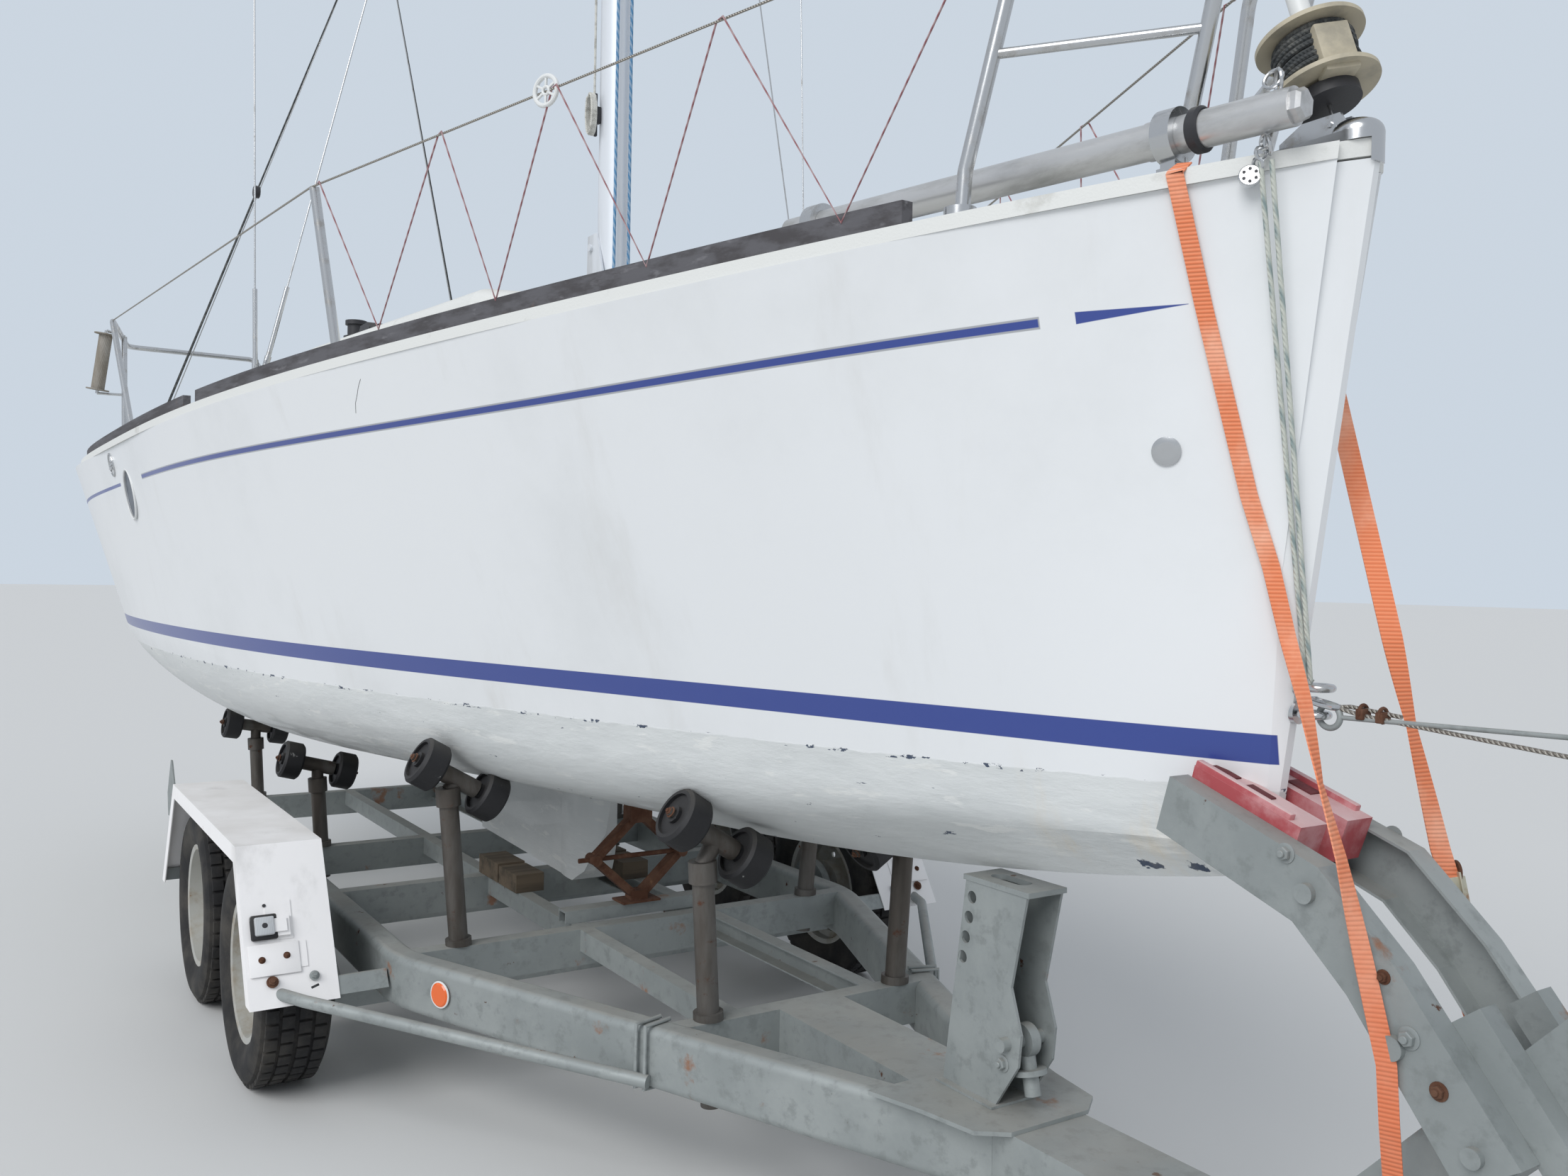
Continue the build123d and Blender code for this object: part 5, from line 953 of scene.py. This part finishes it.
# Backstay: its split's legs, with a tackle in the starboard one
backstay = {"split": (-2.575, -0.015, 4.555), "foot": (-3.405, -0.845, 2.030), "tackleShare": 0.525,
            "topApart": 0.010, "footApart": 0.026, "endShift": 0.004, "radius": 0.0042, "blockLift": 0.020,
            "blockHalf": 0.015, "block": [(0.024, 0.0), (0.030, 0.004), (0.030, 0.026), (0.024, 0.030)]}
bridleSplit = Vector(backstay["split"])
bridleFoot = Vector(backstay["foot"])
tackleTop = bridleSplit.lerp(bridleFoot, backstay["tackleShare"])
foreRun = Vector(fore)
paths = [[bridleSplit + foreRun * backstay["endShift"], tackleTop]]
for way in (-1, 1):
    paths.append([tackleTop + foreRun * backstay["topApart"] * way,
                  bridleFoot + foreRun * backstay["footApart"] * way])
paths.append(mirrored((bridleSplit, bridleFoot)))
ropes("backstay_ropes", paths, backstay["radius"], "dark_rope")
made = bmesh.new()
for centre in (tackleTop, bridleFoot + Vector(up) * backstay["blockLift"]):
    turned(made, centre - Vector((0.0, backstay["blockHalf"], 0.0)), (0.0, 1.0, 0.0), backstay["block"], 20)
show("tackle_blocks", made, "dark_plastic")

# Bolts of the bow arms and the nose post: place and size, the same on both sides
rustyBolts = [((2.754, -0.128, 0.886), 0.0068), ((2.8305, -0.128, 0.764), 0.0085)]
plainBolts = [((2.606, -0.128, 1.018), 0.0100), ((2.790, -0.128, 0.818), 0.0105),
              ((1.961, -0.046, 0.496), 0.0110)]
rustyRows, plainRows = [], []
for table, rows in ((rustyBolts, rustyRows), (plainBolts, plainRows)):
    for place, size in table:
        for way in (1, -1):
            rows.append(((place[0], place[1] * way, place[2]), (0.0, -1.0 * way, 0.0), fore, size))

# Nuts on the roller pins: x, y and z of a pair's middle, and the pair's tilt in degrees
rollerPairs = [(1.243, 0.252, 0.800, 32.0), (0.418, 0.560, 0.836, 30.0), (-0.992, 0.592, 0.688, 15.0),
               (-2.122, 0.588, 0.706, 10.0)]
rollerPin = {"toRoller": 0.094, "halfRoller": 0.033, "proud": 0.006, "nut": 0.0088}
pinReach = rollerPin["toRoller"] + rollerPin["halfRoller"] + rollerPin["proud"]
for x, y, z, tilt in rollerPairs:
    for way in (-1, 1):
        out = Vector((0.0, way * math.cos(math.radians(tilt)), math.sin(math.radians(tilt))))
        for end in (-1, 1):
            place = Vector((x, way * y, z)) + out * end * pinReach
            rustyRows.append((place, out * end, fore, rollerPin["nut"]))

# The fenders' front panels lean; a place on one is given by y, z and how proud it stands
panel = {"run": (0.853, 0.0, 0.522), "x": 0.323, "z": 0.485, "slope": 0.612}
panelRun = Vector(panel["run"]).normalized()


def onPanel(y, z, proud=0.0):
    return Vector((panel["x"] - panel["slope"] * (z - panel["z"]), y, z)) + panelRun * proud


# Bolts on the panels: y, z, size and whether they rust
panelBolts = [(-1.0145, 0.3653, 0.0100, True), (-0.915, 0.3665, 0.0085, False), (-1.034, 0.414, 0.0060, True),
              (-0.975, 0.418, 0.0060, True)]
boltProud = 0.006
for way in (1, -1):
    for y, z, size, isRusty in panelBolts:
        (rustyRows if isRusty else plainRows).append((onPanel(y * way, z, boltProud), panelRun, up, size))
spread("bolts_rusty", studMesh, rustyRows, "rusty_steel")
spread("bolts_plain", studMesh, plainRows, "galvanised")

# Fender lamps, blank plates and slots; "at" is y, z and how proud each stands
lamp = {"at": (-1.0232, 0.4833, 0.009), "size": (0.064, 0.064, 0.014), "lensProud": 0.019,
        "lens": (0.047, 0.047, 0.012), "screwProud": 0.0250, "screw": [(0.0070, 0.0), (0.0055, 0.0012)]}
plate = {"at": (-1.0044, 0.4136, 0.005), "size": (0.080, 0.120, 0.003)}
slot = {"at": (-0.915, 0.345, 0.0005), "size": (0.006, 0.020, 0.0016), "lean": (0.5, 0.3, -0.8)}
hole = {"at": (-1.017, 0.532, 0.0035), "profile": [(0.0045, 0.0), (0.0045, 0.0008)]}
reflector = {"place": (0.608, -0.660, 0.339), "run": (0.3815, -0.9244, 0.0), "rim": 0.031,
             "rimSection": 0.0026, "rimProud": 0.004,
             "profile": [(0.030, 0.0), (0.030, 0.006), (0.026, 0.009)]}
surrounds, lenses, plates, slots, amber, amberRims = [bmesh.new() for _ in range(6)]
for way in (1, -1):
    y, z, proud = lamp["at"]
    block(surrounds, onPanel(y * way, z, proud), lamp["size"], panelRun, up, 0.005)
    block(lenses, onPanel(y * way, z, lamp["lensProud"]), lamp["lens"], panelRun, up, 0.004)
    plateY, plateZ, plateProud = plate["at"]
    block(plates, onPanel(plateY * way, plateZ, plateProud), plate["size"], panelRun, up, 0.0008)
    # The slot and the hole are thin dark pieces on the panel: painted shade of the openings; the lamp screw
    # in the same mesh is a dark screw
    slotY, slotZ, slotProud = slot["at"]
    block(slots, onPanel(slotY * way, slotZ, slotProud), slot["size"], panelRun, slot["lean"], 0.0005)
    holeY, holeZ, holeProud = hole["at"]
    turned(slots, onPanel(holeY * way, holeZ, holeProud), panelRun, hole["profile"], 14)
    turned(slots, onPanel(y * way, z, lamp["screwProud"]), panelRun, lamp["screw"], 16)
    disc, beamRun = [Vector((x, y * way, z)) for x, y, z in (reflector["place"], reflector["run"])]
    turned(amber, disc, beamRun, reflector["profile"], 32)
    hoop(amberRims, disc + beamRun * reflector["rimProud"], beamRun, reflector["rim"],
         reflector["rimSection"], 36, 8)
show("lamp_surrounds", surrounds, "black_rubber")
show("lamp_lenses", lenses, "clear_lens")
show("blank_plates", plates, "white_paint")
show("panel_slots", slots, "dark_plastic")
show("side_reflectors", amber, "amber_lens")
show("reflector_rims", amberRims, "white_foil")
print("trailer gear done")

# Pads between the bow arms: the lips around the arms' ends, and the pockets in both, drawn as thin darker red
# blocks that are painted shade in the pockets
pad = {"run": (0.3256, 0.0, 0.9455), "fore": (0.9455, 0.0, -0.3256), "lip": (2.484, -0.0785, 1.046),
       "lipSize": (0.176, 0.014, 0.098), "top": (2.487, -0.0540, 1.0880), "pocketAlong": (-0.045, 0.020),
       "topPocket": (0.044, 0.026, 0.0030), "edgePocket": (0.044, 0.009, 0.0020), "edgeDrop": 0.0490}
padRun = Vector(pad["run"])
padFore = Vector(pad["fore"])
made = bmesh.new()
pockets = bmesh.new()
for way in (1, -1):
    lipPlace, topPlace = [Vector((x, y * way, z)) for x, y, z in (pad["lip"], pad["top"])]
    block(made, lipPlace, pad["lipSize"], padRun, padFore, 0.003)
    for along in pad["pocketAlong"]:
        block(pockets, topPlace + padFore * along, pad["topPocket"], padRun, padFore, 0.0008)
        edgePlace = lipPlace + padFore * along - padRun * pad["edgeDrop"]
        block(pockets, edgePlace, pad["edgePocket"], padRun, padFore, 0.0006)
show("pad_lips", made, "red_pad")
show("pad_pockets", pockets, "red_pad_in_shade")

# Winch wire with its clamps, and the shackle in the lower bow eye
winchWire = {"radius": 0.0032,
             "main": [(2.592, 0.0, 1.214), (2.6345, 0.0, 1.206), (2.9114, 0.0, 1.1828), (3.120, 0.0, 1.160)],
             "tail": [(2.592, 0.0, 1.214), (2.610, 0.010, 1.216), (2.690, 0.006, 1.209)]}
ropes("winch_wire", [winchWire["main"], winchWire["tail"]], winchWire["radius"], "wire_rope")
wireClamp = {"places": [(2.634, 0.003, 1.208), (2.664, 0.003, 1.206)], "size": (0.012, 0.022, 0.016),
             "bow": 0.010, "bowSection": 0.0028, "bowLift": 0.003}
made = bmesh.new()
for place in wireClamp["places"]:
    block(made, place, wireClamp["size"], up, fore, 0.002)
    hoop(made, Vector(place) + Vector(up) * wireClamp["bowLift"], fore, wireClamp["bow"],
         wireClamp["bowSection"], 20, 8)
show("wire_clamps", made, "rusty_steel")
bowShackle = {"radius": 0.0042, "pin": [(2.550, -0.016, 1.222), (2.550, 0.016, 1.222)],
              "leg": [(2.548, 0.011, 1.222), (2.575, 0.013, 1.217), (2.592, 0.009, 1.214),
                      (2.598, 0.0, 1.213)]}
ropes("bow_shackle", [bowShackle["leg"], mirrored(bowShackle["leg"]), bowShackle["pin"]],
      bowShackle["radius"], "stainless")

# U-bolts round the guard pipes' front ends: x and y of each, and steps to its bends
uBolt = {"radius": 0.0048, "places": ((1.229, -0.411), (1.205, -0.421)), "top": 0.4045,
         "bends": [(-0.020, 0.070, 0.0), (0.0, 0.0, 0.0), (0.001, -0.002, -0.1365), (-0.018, 0.050, -0.1425)]}
uBolts = []
for way in (1, -1):
    for x, y in uBolt["places"]:
        uBolts.append([(x + ahead, (y + side) * way, uBolt["top"] + rise)
                       for ahead, side, rise in uBolt["bends"]])
ropes("pipe_u_bolts", uBolts, uBolt["radius"], "galvanised")

# Gear through the hull's sides: port rims and panes, side vents and a skin fitting at the bow
beside = 2.0  # y from where lines are sent in to find the hull
port = {"x": -1.71, "z": 1.655, "half": 0.104, "lean": 0.8, "rim": 0.0950, "rimSection": 0.0045,
        "rimProud": 0.001, "paneSunk": 0.008, "pane": [(0.0905, 0.0), (0.0905, 0.004)]}
vent = {"x": -1.953, "z": 1.779, "louvre": (0.072, 0.006, 0.008), "pitch": 0.013, "proud": 0.004,
        "ring": 0.044, "ringSection": 0.0035, "ringProud": 0.002}
skinFitting = {"x": 2.391, "z": 1.590, "sunk": 0.001,
               "profile": [(0.0225, 0.0), (0.0225, 0.004), (0.015, 0.006), (0.012, 0.006)]}
crack = {"radius": 0.0007, "rows": [(0.562, 1.846), (0.552, 1.838), (0.541, 1.829), (0.528, 1.815),
                                    (0.506, 1.794), (0.493, 1.771)]}


def onSide(x, z, way=1):
    return meets("hull", (x, -beside * way, z), (0.0, 1.0 * way, 0.0))


made, panes, vents = [bmesh.new() for _ in range(3)]
for way in (1, -1):
    place, normal = onSide(port["x"], port["z"] + port["half"], way)
    low, _ = onSide(port["x"], port["z"] - port["half"], way)
    portFace = Vector((0.0, -1.0 * way, 0.0)).lerp(normal, port["lean"]).normalized()
    middle = (place + low) / 2
    hoop(made, middle + portFace * port["rimProud"], portFace, port["rim"], port["rimSection"], 48, 10)
    turned(panes, middle - portFace * port["paneSunk"], portFace, port["pane"], 48)
    place, normal = onSide(vent["x"], vent["z"], way)
    for step in (-1, 0, 1):
        louvre = place + normal * vent["proud"] + Vector(up) * vent["pitch"] * step
        block(vents, louvre, vent["louvre"], up, fore, 0.0015)
    hoop(vents, place + normal * vent["ringProud"], normal, vent["ring"], vent["ringSection"], 32, 8)
place, normal = onSide(skinFitting["x"], skinFitting["z"])
turned(vents, place - normal * skinFitting["sunk"], normal, skinFitting["profile"], 28)
show("port_rims", made, "white_foil")
show("port_panes", panes, "port_glass")
show("side_vents", vents, "stainless")
crackPath = [onSide(x, z)[0] for x, z in crack["rows"]]
ropes("gelcoat_crack", [crackPath], crack["radius"], "dark_plastic", sides=6)

# Tyres: a turned shell, with rows of tread blocks, every other row half a block on
tyre = {"radius": 0.304, "half": 0.068, "depth": 0.008, "blocks": 46, "rows": (-0.060, -0.021, 0.021, 0.060),
        "block": (0.033, 0.031, 0.016), "sink": 0.0006, "sides": 72,
        "wall": [(0.186, 0.074), (0.205, 0.084), (0.240, 0.094), (0.272, 0.092), (0.288, 0.084)]}
wheelBolts = {"count": 4, "circle": 0.050, "size": 0.0085, "away": 0.4}
wheelPlaces = {"front_s": (0.050, -0.942), "front_p": (0.050, 0.942), "rear_s": (-0.730, -0.942),
               "rear_p": (-0.730, 0.942)}
treadBlock = bmesh.new()
block(treadBlock, (0.0, 0.0, 0.0), tyre["block"], up, fore, 0.0012)
treadMesh = asMesh("treadBlock", treadBlock)
treadFloor = tyre["radius"] - tyre["depth"]
wallOut = tyre["wall"] + [(treadFloor, tyre["half"])]
carcass = [(radius, -along) for radius, along in wallOut] + wallOut[::-1]
for name, (x, y) in wheelPlaces.items():
    body = "wheel_" + name
    centre = Vector((x, y, tyre["radius"]))
    rows = []
    for step, offset in enumerate(tyre["rows"]):
        for index in range(tyre["blocks"]):
            angle = 2.0 * math.pi * (index + 0.5 * (step % 2)) / tyre["blocks"]
            out = Vector((math.cos(angle), 0.0, math.sin(angle)))
            spot = centre + out * (treadFloor - tyre["sink"]) + Vector((0.0, offset, 0.0))
            rows.append((spot, out, (math.sin(angle), 0.0, -math.cos(angle)), 1.0))
    spread("tread_" + name, treadMesh, rows, "tyre", body, spin=0.0)
    shell = bmesh.new()
    rings = []
    for radius, along in carcass:
        ring = []
        for index in range(tyre["sides"]):
            angle = 2.0 * math.pi * index / tyre["sides"]
            spot = Vector((radius * math.cos(angle), along, radius * math.sin(angle)))
            ring.append(shell.verts.new(centre + spot))
        rings.append(ring)
    for low, high in zip(rings, rings[1:] + rings[:1]):
        for index in range(tyre["sides"]):
            after = (index + 1) % tyre["sides"]
            shell.faces.new((low[index], low[after], high[after], high[index]))
    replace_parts(show("tyre_shell_" + name, shell, "tyre", body), "tyre_" + name)
    way = 1.0 if y > 0 else -1.0
    boltRows = []
    for index in range(wheelBolts["count"]):
        angle = 2.0 * math.pi * (index + 0.5) / wheelBolts["count"]
        start = centre + Vector((math.cos(angle), 0.0, math.sin(angle))) * wheelBolts["circle"]
        start.y += way * wheelBolts["away"]
        place, normal = meets("rim_" + name, start, (0.0, -way, 0.0))
        boltRows.append((place, (0.0, way, 0.0), fore, wheelBolts["size"]))
    spread("wheel_bolts_" + name, studMesh, boltRows, "rusty_steel", body)
print("wheels done")

# Floor, not a part of the object
floorReach = 90.0
floorMesh = bpy.data.meshes.new("floor")
floorMesh.from_pydata([(-floorReach, -floorReach, 0.0), (floorReach, -floorReach, 0.0),
                       (floorReach, floorReach, 0.0), (-floorReach, floorReach, 0.0)], [], [(0, 1, 2, 3)])
floorMesh.materials.append(finish("floor", lightSetup["floor"], 0.9, bumps=[grained(3.0, 0.02)]))
floor = bpy.data.objects.new("floor", floorMesh)
bpy.context.scene.collection.objects.link(floor)
